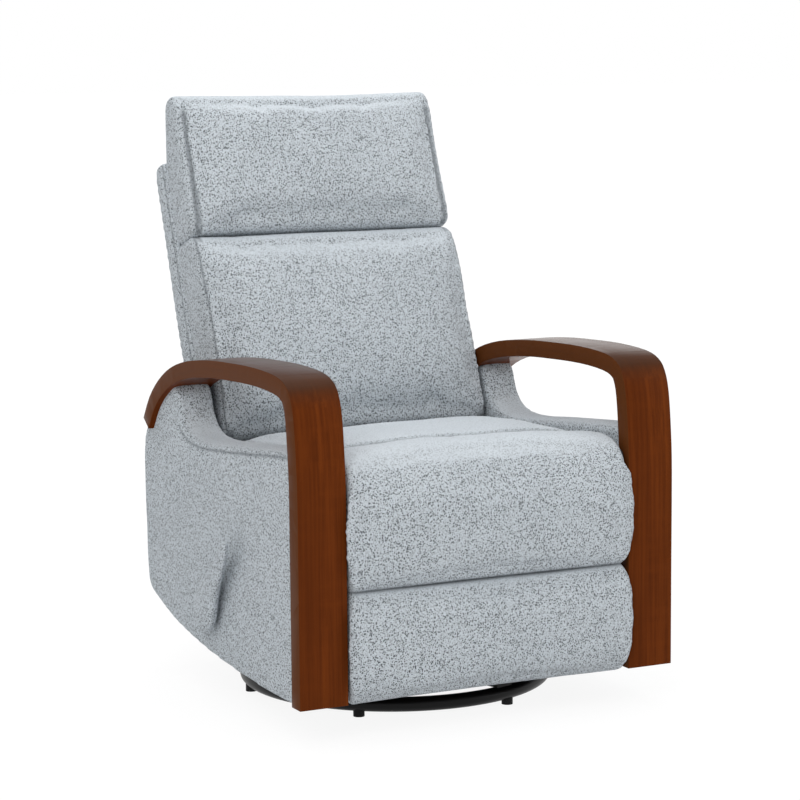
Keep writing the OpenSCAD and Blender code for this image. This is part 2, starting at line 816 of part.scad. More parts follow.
module main_links() {
  collar = 2 * pin_head_t;
  color("#3a3d41") both_sides() difference() {
    union() {
      translate([main_x, torque_y - link_w / 2, knee_z]) cube([plate_t, link_w, torque_z - knee_z]);
      bar_x(link_w, main_x, main_x + plate_t, torque_y, knee_z);
      bar_x(torque_d + 2 * collar, main_x, main_x + plate_t, torque_y, torque_z);
    }
    bore_x(torque_d, main_x, main_x + plate_t, torque_y, torque_z);
    bore_x(pin_d + pin_gap, main_x, main_x + plate_t, torque_y, knee_z);
  }
}

module knee_pins() {
  color("#9aa0a6") both_sides()
    headed_pin(main_x - pin_head_t, fold_x + plate_t, torque_y, knee_z, pin_d, pin_head_d, pin_head_t);
}

module fold_links() {
  fold_w = link_w - pin_head_t;
  color("#3a3d41") both_sides()
    link_x(fold_x, plate_t, fold_w, torque_y, knee_z, pad_pivot_z, pin_d + pin_gap);
}

module pad_pins() {
  color("#9aa0a6") both_sides()
    bar_x(pin_d, fold_x, lug_x + plate_t, torque_y, pad_pivot_z);
}

module lower_brackets() {
  lug_r = 10;
  back = board_y + board_t;
  tail = 90;
  color("#3a3d41") both_sides() difference() {
    union() {
      plate_x([[back, pad_pivot_z - tail], [torque_y, pad_pivot_z - lug_r], [torque_y, pad_pivot_z + lug_r],
               [back, pad_pivot_z]], lug_x, plate_t);
      bar_x(2 * lug_r, lug_x, lug_x + plate_t, torque_y, pad_pivot_z);
    }
    bore_x(pin_d + pin_gap, lug_x, lug_x + plate_t, torque_y, pad_pivot_z);
  }
}

module lower_board() {
  color("#b08d57") translate([-low_pad_half, board_y, pad_foot_z + board_in])
    cube([2 * low_pad_half, board_t, lower_pad_top - 2 * board_in - pad_foot_z]);
}

// The front face of a pad, bulging forward between its two long edges
function pad_face(y, z0, z1) = spline(
  [[y + pad_edge, z0], [y + pad_edge / 4, z0 + pad_edge], [y - pad_bulge, (z0 + z1) / 2],
   [y + pad_edge / 4, z1 - pad_edge], [y + pad_edge, z1]], 4);

module lower_pad() {
  y0 = front_y - pad_proud;
  back = y0 + pad_t;
  line = concat([[back, pad_foot_z], [back, lower_pad_top]], reversed(pad_face(y0, pad_foot_z, lower_pad_top)));
  color("#b9c3cb") loft_x(line, round_layers(-low_pad_half, low_pad_half, pad_round),
                          [(y0 + back) / 2, (pad_foot_z + lower_pad_top) / 2]);
}

module upper_brackets() {
  ear = 13;
  color("#3a3d41") both_sides() difference() {
    union() {
      plate_x([[board_y, upper_pad_foot + board_in], [board_y + board_t, upper_pad_foot + board_in],
               [board_y + board_t, pad_hinge_z - ear], [pad_hinge_y + ear, pad_hinge_z],
               [pad_hinge_y - ear, pad_hinge_z], [board_y, pad_hinge_z - 3 * ear]],
              pad_half + gap, bracket_x - pad_half - 2 * gap);
      bar_x(2 * ear, pad_half + gap, bracket_x - gap, pad_hinge_y, pad_hinge_z);
    }
    bore_x(pin_d + pin_gap, pad_half, bracket_x, pad_hinge_y, pad_hinge_z);
  }
}

module upper_board() {
  color("#b08d57") translate([-pad_half - gap, board_y, upper_pad_foot + board_in])
    cube([2 * (pad_half + gap), board_t, upper_board_top - upper_pad_foot - board_in]);
}

// The upper pad rolls over its pivots at the top
module upper_pad() {
  y0 = front_y - pad_proud;
  roll = [pad_hinge_y, pad_hinge_z];
  line = concat(
    [[y0 + pad_t, upper_pad_foot], [y0 + pad_t, upper_board_top + gap]],
    arc(roll, pad_roll, -50, 80, 8),
    spline([roll + [0, pad_roll], [y0 + pad_edge, pad_hinge_z + 0.72 * pad_roll],
            [y0, pad_hinge_z], [y0 - pad_bulge, (upper_pad_foot + pad_hinge_z) / 2],
            [y0 + pad_edge / 4, upper_pad_foot + pad_edge], [y0 + pad_edge, upper_pad_foot]], 4)
  );
  color("#b9c3cb") loft_x(line, round_layers(-pad_half, pad_half, pad_round),
                          [y0 + 0.55 * pad_t, pad_hinge_z - pad_edge]);
}

// Lever on the left panel
module lever_handle() {
  x0 = panel_out_x + bushing_t + gap;
  color("#aab4bc") mirror([1, 0, 0]) translate([0, lever_y, lever_z]) rotate([-lever_rise, 0, 0])
    difference() {
      union() {
        bar_x(lever_hub, x0, x0 + lever_t, 0, 0);
        translate([x0, 0, 0]) rotate([0, 0, lever_flare]) {
          plate_x([[0, -lever_w / 2], [0, lever_w / 2], [-lever_grip, lever_tip_w / 2],
                   [-lever_grip, -lever_tip_w / 2]], 0, lever_t);
          bar_x(lever_tip_w, 0, lever_t, -lever_grip, 0);
        }
      }
      bore_x(shaft_d, x0, x0 + lever_t, 0, 0);
      bar_x(shaft_d + pin_head_t + 2 * gap, x0 + lever_t, x0 + 2 * lever_t, 0, 0);
    }
}

module lever_shaft() {
  x0 = mech_x - pin_head_t;
  x1 = panel_out_x + bushing_t + gap + lever_t;
  color("#9aa0a6") mirror([1, 0, 0]) {
    bar_x(shaft_d, x0 - gap, x1, lever_y, lever_z);
    bar_x(pin_head_d, x0 - gap, x0 + pin_head_t - gap, lever_y, lever_z);
  }
}

module lever_screw() {
  x1 = panel_out_x + bushing_t + gap + lever_t;
  color("#c8ccd0") mirror([1, 0, 0]) bar_x(shaft_d + pin_head_t, x1, x1 + pin_head_t, lever_y, lever_z);
}

base_ring();
base_cross();
base_glides();
bearing_cup();
bearing_balls();
swivel_spindle();
turntable_plate();
glide_frame();
left_stand();
right_stand();
upper_pins();
front_glide_links();
rear_glide_links();
left_glide_rail();
right_glide_rail();
lower_pins();
front_cross_bar();
rear_cross_bar();
left_mechanism_plate();
right_mechanism_plate();
left_side_panel();
right_side_panel();
left_arm();
right_arm();
arm_bolts();
rear_valance();
seat_guides();
lever_bushing();
left_seat_rail();
right_seat_rail();
seat_front_bar();
seat_rear_bar();
seat_webbing();
seat_cushion();
front_brackets();
back_pivots();
back_brackets();
back_posts();
back_rails();
rear_shell();
back_cushion();
head_pillow();
torque_tube();
main_links();
knee_pins();
fold_links();
pad_pins();
lower_brackets();
lower_board();
lower_pad();
upper_brackets();
upper_board();
upper_pad();
lever_handle();
lever_shaft();
lever_screw();
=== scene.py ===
import json
import math

import bpy
import numpy as np
from mathutils import Matrix, Vector


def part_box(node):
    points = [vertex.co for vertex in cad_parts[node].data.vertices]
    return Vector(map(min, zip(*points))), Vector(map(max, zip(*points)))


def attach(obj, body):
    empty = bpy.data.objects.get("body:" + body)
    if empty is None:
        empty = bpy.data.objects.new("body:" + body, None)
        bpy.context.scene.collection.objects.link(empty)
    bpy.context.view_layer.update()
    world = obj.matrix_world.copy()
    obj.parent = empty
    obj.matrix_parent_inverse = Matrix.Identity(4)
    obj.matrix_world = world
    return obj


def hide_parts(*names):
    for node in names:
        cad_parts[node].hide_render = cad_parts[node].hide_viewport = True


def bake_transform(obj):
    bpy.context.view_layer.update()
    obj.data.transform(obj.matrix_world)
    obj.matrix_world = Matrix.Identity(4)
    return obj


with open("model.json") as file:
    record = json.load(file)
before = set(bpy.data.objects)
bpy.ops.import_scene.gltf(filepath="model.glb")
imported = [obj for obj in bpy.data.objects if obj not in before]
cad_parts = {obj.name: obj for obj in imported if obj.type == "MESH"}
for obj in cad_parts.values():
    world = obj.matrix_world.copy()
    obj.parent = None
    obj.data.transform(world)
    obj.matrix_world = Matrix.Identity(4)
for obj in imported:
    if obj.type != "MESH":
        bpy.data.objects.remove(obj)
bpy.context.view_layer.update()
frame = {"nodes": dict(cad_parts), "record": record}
scene = bpy.context.scene
print("frame loaded:", len(frame["nodes"]), "nodes")

# The camera stands in front, left of the chair and a little above the arms
view = {
    "place": (-2.0799, -4.1975, 1.1518),
    "yaw": -26.51,
    "pitch": 7.71,
    "roll": -0.466,
    "lens": 117.41,
    "sensor": 36.0,
}


def addCamera(spec):
    yaw, pitch, roll = (math.radians(spec[k]) for k in ("yaw", "pitch", "roll"))
    back = Vector((
        math.sin(yaw) * math.cos(pitch),
        -math.cos(yaw) * math.cos(pitch),
        math.sin(pitch),
    ))
    right = Vector((math.cos(yaw), math.sin(yaw), 0))
    up = back.cross(right)
    turnedRight = math.cos(roll) * right + math.sin(roll) * up
    turnedUp = math.cos(roll) * up - math.sin(roll) * right
    data = bpy.data.cameras.new("camera")
    data.lens = spec["lens"]
    data.sensor_width = spec["sensor"]
    camera = bpy.data.objects.new("camera", data)
    scene.collection.objects.link(camera)
    turn = Matrix((turnedRight, turnedUp, back)).transposed()
    camera.matrix_world = Matrix.Translation(spec["place"]) @ turn.to_4x4()
    scene.camera = camera


addCamera(view)
print("camera placed")


# Small helpers for nodes in a material
class Tree:
    def __init__(self, name):
        self.material = bpy.data.materials.new(name)
        self.material.use_nodes = True
        self.nodes = self.material.node_tree.nodes
        self.links = self.material.node_tree.links
        self.shader = self.nodes["Principled BSDF"]
        self.column = 0

    def add(self, kind, inputs=None, **settings):
        node = self.nodes.new(kind)
        self.column += 1
        node.location = (-180 * self.column, 200 - 40 * (self.column % 7))
        for key, value in settings.items():
            setattr(node, key, value)
        for key, value in (inputs or {}).items():
            self.put(node.inputs[key], value)
        return node

    def put(self, socket, value):
        if isinstance(value, bpy.types.NodeSocket):
            self.links.new(value, socket)
        else:
            socket.default_value = value

    def math(self, kind, a, b=0.0):
        return self.add("ShaderNodeMath", {0: a, 1: b}, operation=kind).outputs[0]

    def scaled(self, value, factor, start):
        node = self.add("ShaderNodeMath", {0: value, 1: factor, 2: start}, operation="MULTIPLY_ADD")
        return node.outputs[0]

    def mix(self, share, a, b):
        node = self.add("ShaderNodeMix", data_type="RGBA")
        self.put(node.inputs["Factor"], share)
        self.put(node.inputs[6], a)
        self.put(node.inputs[7], b)
        return node.outputs[2]

    def ramp(self, value, low, high):
        node = self.add("ShaderNodeMapRange", {0: value, 1: low, 2: high}, clamp=True)
        node.interpolation_type = "SMOOTHSTEP"
        return node.outputs[0]

    def vector(self, kind, a, b):
        return self.add("ShaderNodeVectorMath", {0: a, 1: b}, operation=kind).outputs[0]

    def noise(self, where, scale, detail=3.0, rough=0.55):
        return self.add(
            "ShaderNodeTexNoise",
            {"Vector": where, "Scale": scale, "Detail": detail, "Roughness": rough},
        )

    def bump(self, height, strength, distance):
        node = self.add(
            "ShaderNodeBump", {"Height": height, "Strength": strength, "Distance": distance}
        )
        return node.outputs[0]

    def finish(self, colour, rough, normal):
        self.put(self.shader.inputs["Base Color"], colour)
        self.put(self.shader.inputs["Roughness"], rough)
        self.put(self.shader.inputs["Normal"], normal)
        return self.material


# Curly woven cloth: pale ground, grey curls and scattered black flecks
fabricSpec = {
    "pale": (0.655, 0.705, 0.745, 1),
    "shade": (0.585, 0.635, 0.675, 1),
    "greyFleck": (0.225, 0.248, 0.268, 1),
    "fleck": (0.070, 0.078, 0.086, 1),
    # painted shade for the seam creases
    "seamCreaseShade": (0.150, 0.166, 0.180, 1),
    "clouds": 9.0,
    "looseness": (420.0, 0.0032),  # how fine, and how far the yarn strays in metres
    "curl": 640.0,
    "curlEdge": (0.49, 0.37),
    "curlStrength": 0.85,
    "fleckScale": 345.0,
    "fleckStretch": (1.0, 0.8, 0.8),
    "fleckSize": 0.37,
    "fleckEdge": 0.07,
    "fleckChance": (0.08, 0.34),
    "patches": 24.0,
    "patchEdge": (-0.50, 0.55),
    "paintedSheen": (0.60, 0.97),  # how far a side faces up before it is paled with painted sheen
    # share of the flecks and curls taken off the upper sides as painted sheen
    "paintedSheenShare": 0.72,
    "pile": 1100.0,
    "pileBump": (0.55, 0.0011),
    "sheen": 0.22,
    "sheenRough": 0.5,
    "sheenTint": (0.88, 0.93, 1.0, 1),
    "specular": 0.15,
    "rough": 0.93,
}


def chenille(spec):
    tree = Tree("chenille")
    coords = tree.add("ShaderNodeTexCoord")
    where = coords.outputs["Object"]
    fine, stray = spec["looseness"]
    wobble = tree.noise(where, fine, 2.0).outputs["Color"]
    shift = tree.vector("MULTIPLY", tree.vector("SUBTRACT", wobble, (0.5,) * 3), (stray,) * 3)
    loose = tree.vector("ADD", where, shift)
    curls = tree.noise(loose, spec["curl"], 1.6, 0.6).outputs[0]
    marks = tree.ramp(curls, *spec["curlEdge"])
    patch = tree.noise(where, spec["patches"], 2.0, 0.6).outputs[0]
    placed = tree.vector("MULTIPLY", loose, spec["fleckStretch"])
    cell = tree.add("ShaderNodeTexVoronoi", {"Vector": placed, "Scale": spec["fleckScale"]})
    chance = tree.math("MULTIPLY", cell.outputs["Color"], tree.ramp(patch, *spec["patchEdge"]))
    reach = tree.math("MULTIPLY", tree.ramp(chance, *spec["fleckChance"]), spec["fleckSize"])
    inside = tree.math("SUBTRACT", reach, cell.outputs["Distance"])
    flecks = tree.ramp(inside, -spec["fleckEdge"], spec["fleckEdge"])
    # painted sheen: on the upper sides most of the flecks and curls are faded out, so these sides
    # come out paler
    upward = tree.add("ShaderNodeSeparateXYZ", {0: coords.outputs["Normal"]}).outputs[2]
    paintedSheen = tree.math("MULTIPLY", tree.ramp(upward, *spec["paintedSheen"]), spec["paintedSheenShare"])
    shown = tree.math("SUBTRACT", 1.0, paintedSheen)
    flecks = tree.math("MULTIPLY", flecks, shown)
    marks = tree.math("MULTIPLY", marks, shown)
    cloudy = tree.noise(where, spec["clouds"], 2.0).outputs[0]
    colour = tree.mix(cloudy, spec["pale"], spec["shade"])
    grey = tree.math("MULTIPLY", marks, spec["curlStrength"])
    colour = tree.mix(grey, colour, spec["greyFleck"])
    colour = tree.mix(flecks, colour, spec["fleck"])
    # painted shade along the seams, where the seam attribute is set
    seam = tree.add("ShaderNodeAttribute", attribute_name="seam").outputs["Fac"]
    colour = tree.mix(seam, colour, spec["seamCreaseShade"])
    pile = tree.noise(where, spec["pile"], 3.0, 0.7).outputs[0]
    height = tree.math("SUBTRACT", pile, tree.math("ADD", marks, flecks))
    normal = tree.bump(height, *spec["pileBump"])
    tree.shader.inputs["Sheen Weight"].default_value = spec["sheen"]
    tree.shader.inputs["Sheen Roughness"].default_value = spec["sheenRough"]
    tree.shader.inputs["Sheen Tint"].default_value = spec["sheenTint"]
    tree.shader.inputs["Specular IOR Level"].default_value = spec["specular"]
    return tree.finish(colour, spec["rough"], normal)


# Stained bentwood; each stretch says how much finer a figure is across the grain than along it
walnutSpec = {
    "light": (0.166, 0.0375, 0.0060, 1),
    "dark": (0.090, 0.0195, 0.0038, 1),
    "vein": (0.046, 0.0110, 0.0030, 1),
    # painted shade colours for the flanks and the top
    "flankShade": (0.100, 0.0345, 0.0100, 1),
    "above": (0.052, 0.0250, 0.0140, 1),
    "grain": (2.6, 130.0, 130.0),
    "grainEdge": (0.25, 0.78),
    "cloud": (5.0, 22.0, 22.0),
    "cloudEdge": (0.35, 0.8),
    "cloudShare": 0.5,
    "figure": (55.0, 16.0, 16.0),
    "figureEdge": (0.4, 0.8),
    "figureShare": 0.22,
    "pores": (30.0, 1300.0, 1300.0),
    "poreEdge": (0.56, 0.72),
    "poreShare": 0.35,
    "poreBump": (0.10, 0.0003),
    "staveShare": 0.38,
    # how far a face turns sideways or up before it takes the painted shade
    "flankShadeEdge": (0.55, 0.90),
    "flankShadeShare": 0.7,
    "aboveEdge": (0.25, 0.85),
    "aboveShare": 0.8,
    "lacquer": 0.36,
    "lacquerEdge": (0.62, 0.95),
    "lacquerRough": 0.12,
    "specular": 0.02,
    "rough": (0.12, 0.30),
}


def walnut(spec, name):
    tree = Tree(name)
    where = tree.add("ShaderNodeAttribute", attribute_name="grain").outputs["Vector"]
    stave = tree.add("ShaderNodeAttribute", attribute_name="stave").outputs["Fac"]
    bands = tree.noise(tree.vector("MULTIPLY", where, spec["grain"]), 1.0, 5.0, 0.62).outputs[0]
    cloud = tree.noise(tree.vector("MULTIPLY", where, spec["cloud"]), 1.0, 3.0).outputs[0]
    pores = tree.noise(tree.vector("MULTIPLY", where, spec["pores"]), 1.0, 2.0, 0.7).outputs[0]
    figure = tree.noise(tree.vector("MULTIPLY", where, spec["figure"]), 1.0, 2.0).outputs[0]
    # painted shade: the flanks and the top are darkened by which way they face, darker than the
    # front of the post
    coords = tree.add("ShaderNodeTexCoord")
    out = tree.add("ShaderNodeSeparateXYZ", {0: coords.outputs["Normal"]})
    flankShade = tree.ramp(tree.math("ABSOLUTE", out.outputs[0]), *spec["flankShadeEdge"])
    above = tree.ramp(out.outputs[2], *spec["aboveEdge"])
    colour = tree.mix(tree.ramp(bands, *spec["grainEdge"]), spec["dark"], spec["light"])
    for amount, share, tint in (
        (tree.ramp(cloud, *spec["cloudEdge"]), "cloudShare", "dark"),
        (tree.ramp(figure, *spec["figureEdge"]), "figureShare", "light"),
        (tree.ramp(pores, *spec["poreEdge"]), "poreShare", "vein"),
        (stave, "staveShare", "dark"),
        (flankShade, "flankShadeShare", "flankShade"),
        (above, "aboveShare", "above"),
    ):
        colour = tree.mix(tree.math("MULTIPLY", amount, spec[share]), colour, spec[tint])
    # the lacquer shines where the board is seen nearly edge-on
    facing = tree.add("ShaderNodeLayerWeight", {"Blend": 0.5}).outputs["Facing"]
    gloss = tree.math("MULTIPLY", tree.ramp(facing, *spec["lacquerEdge"]), spec["lacquer"])
    tree.put(tree.shader.inputs["Coat Weight"], gloss)
    tree.shader.inputs["Coat Roughness"].default_value = spec["lacquerRough"]
    tree.shader.inputs["Specular IOR Level"].default_value = spec["specular"]
    rough = tree.scaled(bands, *spec["rough"])
    return tree.finish(colour, rough, tree.bump(pores, *spec["poreBump"]))


# Metals and plastics: a base colour that wears a little and a finely gritty surface
metalSpec = {
    "wear": 14.0,
    "worn": 0.72,
    "roughSpread": (0.16, -0.08),
    "grit": 260.0,
    "gritBump": (0.08, 0.0006),
    "bareSpecular": 0.5,
    "paintSpecular": 0.16,
}


def metal(name, colour, rough, metallic, spec=metalSpec):
    tree = Tree(name)
    where = tree.add("ShaderNodeTexCoord").outputs["Object"]
    speckle = tree.noise(where, spec["grit"], 3.0).outputs[0]
    wear = tree.noise(where, spec["wear"], 4.0).outputs[0]
    tint = tree.mix(wear, colour, tuple(c * spec["worn"] for c in colour[:3]) + (1,))
    spread, start = spec["roughSpread"]
    level = spec["bareSpecular"] if metallic else spec["paintSpecular"]
    tree.shader.inputs["Metallic"].default_value = metallic
    tree.shader.inputs["Specular IOR Level"].default_value = level
    return tree.finish(
        tint, tree.scaled(wear, spread, rough + start), tree.bump(speckle, *spec["gritBump"])
    )


# The frame's plain wood and its webbing
plainSpec = {
    "grain": (5.0, 90.0, 90.0),
    "woodRough": 0.6,
    "woodBump": (0.15, 0.0006),
    "strands": 160.0,
    "unevenness": 1.2,
    "strapRough": 0.9,
    "strapBump": (0.4, 0.001),
}


def plainWood(name, light, dark, spec=plainSpec):
    tree = Tree(name)
    where = tree.add("ShaderNodeTexCoord").outputs["Object"]
    bands = tree.noise(tree.vector("MULTIPLY", where, spec["grain"]), 1.0, 4.0).outputs[0]
    return tree.finish(
        tree.mix(bands, dark, light), spec["woodRough"], tree.bump(bands, *spec["woodBump"])
    )


def strapping(name, light, dark, spec=plainSpec):
    tree = Tree(name)
    where = tree.add("ShaderNodeTexCoord").outputs["Object"]
    wave = tree.add("ShaderNodeTexWave", {
        "Vector": where, "Scale": spec["strands"], "Distortion": spec["unevenness"]})
    strands = wave.outputs["Fac"]
    return tree.finish(
        tree.mix(strands, dark, light), spec["strapRough"], tree.bump(strands, *spec["strapBump"])
    )


fabric = chenille(fabricSpec)
armWood = walnut(walnutSpec, "armWalnut")
black = metal("blackEnamel", (0.0045, 0.0045, 0.005, 1), 0.34, 0.0)
darkSteel = metal("darkSteel", (0.050, 0.053, 0.058, 1), 0.42, 0.35)
zinc = metal("zinc", (0.56, 0.58, 0.61, 1), 0.34, 0.9)
ballSteel = metal("ballSteel", (0.70, 0.72, 0.74, 1), 0.2, 1.0)
nylon = metal("nylon", (0.016, 0.016, 0.017, 1), 0.6, 0.0)
brass = metal("brass", (0.58, 0.40, 0.16, 1), 0.34, 0.9)
beech = plainWood("beech", (0.56, 0.40, 0.24, 1), (0.38, 0.25, 0.13, 1))
jute = strapping("jute", (0.34, 0.29, 0.20, 1), (0.17, 0.14, 0.09, 1))
nodeFinish = {
    "fabric": fabric,
    "walnut": armWood,
    "base_black": black,
    "mech_steel": darkSteel,
    "zinc": zinc,
    "bright_steel": ballSteel,
    "beech": beech,
    "webbing": jute,
    "brass": brass,
    "glide_nylon": nylon,
    "lever_fabric": fabric,
}
for part in frame["record"]["subparts"]:
    mesh = frame["nodes"][part["node"]].data
    mesh.materials.clear()
    mesh.materials.append(nodeFinish[part["material_slot"]])
print("materials made")


# Modelling helpers: every piece ends at the origin with its place in its mesh
def freshSelection(piece=None):
    if bpy.context.object and bpy.context.object.mode != "OBJECT":
        bpy.ops.object.mode_set(mode="OBJECT")
    bpy.ops.object.select_all(action="DESELECT")
    if piece is not None:
        piece.select_set(True)
        bpy.context.view_layer.objects.active = piece


def settle(piece, name, material):
    freshSelection(piece)
    bpy.ops.object.transform_apply(location=True, rotation=True, scale=True)
    piece.name = name
    piece.data.name = name
    piece.data.materials.clear()
    piece.data.materials.append(material)
    return piece


def points(piece):
    co = np.zeros(len(piece.data.vertices) * 3)
    piece.data.vertices.foreach_get("co", co)
    return co.reshape(-1, 3)


def setPoints(piece, co):
    piece.data.vertices.foreach_set("co", np.asarray(co, float).ravel())
    piece.data.update()


def normals(piece):
    found = np.zeros(len(piece.data.vertices) * 3)
    piece.data.vertex_normals.foreach_get("vector", found)
    return found.reshape(-1, 3)


def selectEdges(piece, chosen):
    # leaves edit mode on, with only the chosen edges selected
    freshSelection(piece)
    bpy.ops.object.mode_set(mode="EDIT")
    bpy.ops.mesh.select_mode(type="EDGE")
    bpy.ops.mesh.select_all(action="DESELECT")
    bpy.ops.object.mode_set(mode="OBJECT")
    for edge in piece.data.edges:
        a, b = (piece.data.vertices[v].co for v in edge.vertices)
        edge.select = bool(chosen(a, b))
    bpy.ops.object.mode_set(mode="EDIT")


def applyModifier(piece, kind, **settings):
    freshSelection(piece)
    modifier = piece.modifiers.new(kind.lower(), kind)
    for key, value in settings.items():
        setattr(modifier, key, value)
    bpy.ops.object.modifier_apply(modifier=modifier.name)


def curveThrough(control, steps):
    control = [np.array(p, float) for p in control]
    out = []
    for i in range(len(control) - 1):
        a, b = control[max(i - 1, 0)], control[i]
        c, d = control[i + 1], control[min(i + 2, len(control) - 1)]
        for k in range(steps):
            t = k / steps
            out.append(0.5 * (2 * b + t * (c - a) + t * t * (2 * a - 5 * b + 4 * c - d)
                              + t ** 3 * (3 * b - a - 3 * c + d)))
    return out + [control[-1]]


def slab(name, outline, left, right, material):
    # a filled outline in Y and Z, pulled out along X
    freshSelection()
    bpy.ops.mesh.primitive_circle_add(vertices=len(outline), radius=1, fill_type="NGON")
    piece = bpy.context.object
    setPoints(piece, [(left, p[0], p[1]) for p in outline])
    bpy.ops.object.mode_set(mode="EDIT")
    bpy.ops.mesh.select_all(action="SELECT")
    bpy.ops.mesh.extrude_region_move(TRANSFORM_OT_translate={"value": (right - left, 0, 0)})
    bpy.ops.mesh.select_all(action="SELECT")
    bpy.ops.mesh.normals_make_consistent(inside=False)
    bpy.ops.object.mode_set(mode="OBJECT")
    return settle(piece, name, material)


def roundEnds(piece, offset, segments):
    # the rim of both end faces is bevelled
    co = points(piece)
    low, high = co[:, 0].min(), co[:, 0].max()
    selectEdges(piece, lambda a, b: max(a.x, b.x) < low + 1e-5 or min(a.x, b.x) > high - 1e-5)
    bpy.ops.mesh.bevel(offset=offset, segments=segments, clamp_overlap=True)
    bpy.ops.object.mode_set(mode="OBJECT")


def remesh(piece, voxel, smoothing):
    applyModifier(piece, "REMESH", mode="VOXEL", voxel_size=voxel, adaptivity=0.0)
    if smoothing:
        applyModifier(piece, "SMOOTH", factor=0.5, iterations=smoothing)


clothSpec = {
    "frames": 18,
    "quality": 4,
    "stretch": 22,
    "bend": 1.2,
    "held": 0.85,
}


def inflate(piece, pressure, cap, spec=clothSpec):
    # cloth under pressure; no point moves further than the cap
    start, facing = points(piece), normals(piece)
    freshSelection(piece)
    cloth = piece.modifiers.new("cloth", "CLOTH")
    cloth.settings.use_pressure = True
    cloth.settings.uniform_pressure_force = pressure
    cloth.settings.quality = spec["quality"]
    cloth.settings.tension_stiffness = spec["stretch"]
    cloth.settings.compression_stiffness = spec["stretch"]
    cloth.settings.bending_stiffness = spec["bend"]
    cloth.settings.effector_weights.gravity = 0
    cloth.collision_settings.use_collision = False
    for number in range(1, spec["frames"] + 1):
        scene.frame_set(number)
    shown = piece.evaluated_get(bpy.context.evaluated_depsgraph_get())
    end = np.zeros(len(shown.data.vertices) * 3)
    shown.data.vertices.foreach_get("co", end)
    piece.modifiers.remove(cloth)
    move = end.reshape(-1, 3) - start
    length = np.linalg.norm(move, axis=1, keepdims=True)
    move *= cap * np.tanh(length / cap) / np.maximum(length, 1e-9)
    # seams hold the edges, so nothing is drawn in by more than a little
    inward = np.minimum((move * facing).sum(1, keepdims=True), 0)
    setPoints(piece, start + move - inward * facing * spec["held"])
    scene.frame_set(1)


def groove(piece, away, depth, width):
    # vertices near a seam sink along their normals; away is how far each one is from it
    sink = depth * np.exp(-(away / width) ** 2)
    setPoints(piece, points(piece) - normals(piece) * sink[:, None])


def shadeSeam(piece, away, width, share=1.0):
    # painted shade: the seam attribute darkens the cloth in the crease along a stitched line
    name = "seam"
    layer = piece.data.attributes.get(name) or piece.data.attributes.new(name, "FLOAT", "POINT")
    old = np.zeros(len(piece.data.vertices))
    layer.data.foreach_get("value", old)
    layer.data.foreach_set("value", np.maximum(old, share * np.exp(-(away / width) ** 2)))


def toPolyline(co, line):
    # distance of each point (columns as in line) from a polyline
    best = np.full(len(co), 1e9)
    for a, b in zip(line[:-1], line[1:]):
        a, b = np.array(a, float), np.array(b, float)
        t = np.clip(((co - a) @ (b - a)) / ((b - a) @ (b - a)), 0, 1)
        best = np.minimum(best, np.linalg.norm(co - a - t[:, None] * (b - a), axis=1))
    return best


def ripple(co, scale, seed):
    # smooth made-up unevenness from a few crossed waves, the same on every run
    rng = np.random.default_rng(seed)
    total = np.zeros(len(co))
    for k in range(9):
        way = rng.normal(size=3)
        way *= scale * rng.uniform(0.6, 1.8) / np.linalg.norm(way)
        total += np.sin(co @ way * 2 * math.pi + rng.uniform(0, 6.28)) / 9 ** 0.5
    return total


def smoothStep(x, low, high):
    t = np.clip((x - low) / (high - low), 0, 1)
    return t * t * (3 - 2 * t)


def arch(share):
    # 0 at both ends and 1 halfway
    return np.sin(math.pi * np.clip(share, 0, 1))


farAway = 0.05  # more than any seam reaches


# Padded side panels with the hip that runs up under each arm
panelSpec = {
    "inside": 0.2800,
    "outside": 0.3490,
    "edge": 0.0150,
    "foot": [(-0.338, 0.066), (-0.253, 0.064), (-0.139, 0.067), (0.000, 0.076), (0.110, 0.089),
             (0.206, 0.106), (0.270, 0.124), (0.312, 0.137)],
    "rear": [(0.332, 0.146), (0.342, 0.160), (0.347, 0.185), (0.351, 0.250), (0.354, 0.339),
             (0.354, 0.400), (0.348, 0.436)],
    "underArm": [(0.326, 0.468), (0.300, 0.490), (0.270, 0.514), (0.240, 0.531), (0.210, 0.543)],
    "wing": [(0.196, 0.548), (0.185, 0.543), (0.175, 0.529), (0.169, 0.512), (0.162, 0.496),
             (0.149, 0.481), (0.130, 0.469), (0.104, 0.461)],
    "rail": [(0.060, 0.458), (0.000, 0.461), (-0.069, 0.468), (-0.136, 0.474), (-0.230, 0.482),
             (-0.300, 0.487), (-0.338, 0.488)],
    "seam": [(0.171, 0.471), (0.154, 0.460), (0.130, 0.451), (0.088, 0.447), (0.041, 0.448),
             (-0.055, 0.456), (-0.139, 0.464), (-0.239, 0.475), (-0.345, 0.483)],
    "crown": 0.005,
    "belly": 0.004,
    "unevenness": (0.0009, 5.0, 3),
    "voxel": 0.0055,
    "topBand": (0.42, 0.45),
    "front": -0.338,
    "bottom": 0.07,
    "long": 0.68,
    "tall": 0.42,
    "pucker": (0.0006, 0.021, 31),  # height, length and how the beat wanders
    "puckerReach": (0.004, 0.030),
    "seamDent": (0.0028, 0.0032),
    "seamShade": (0.0022, 0.8),
}


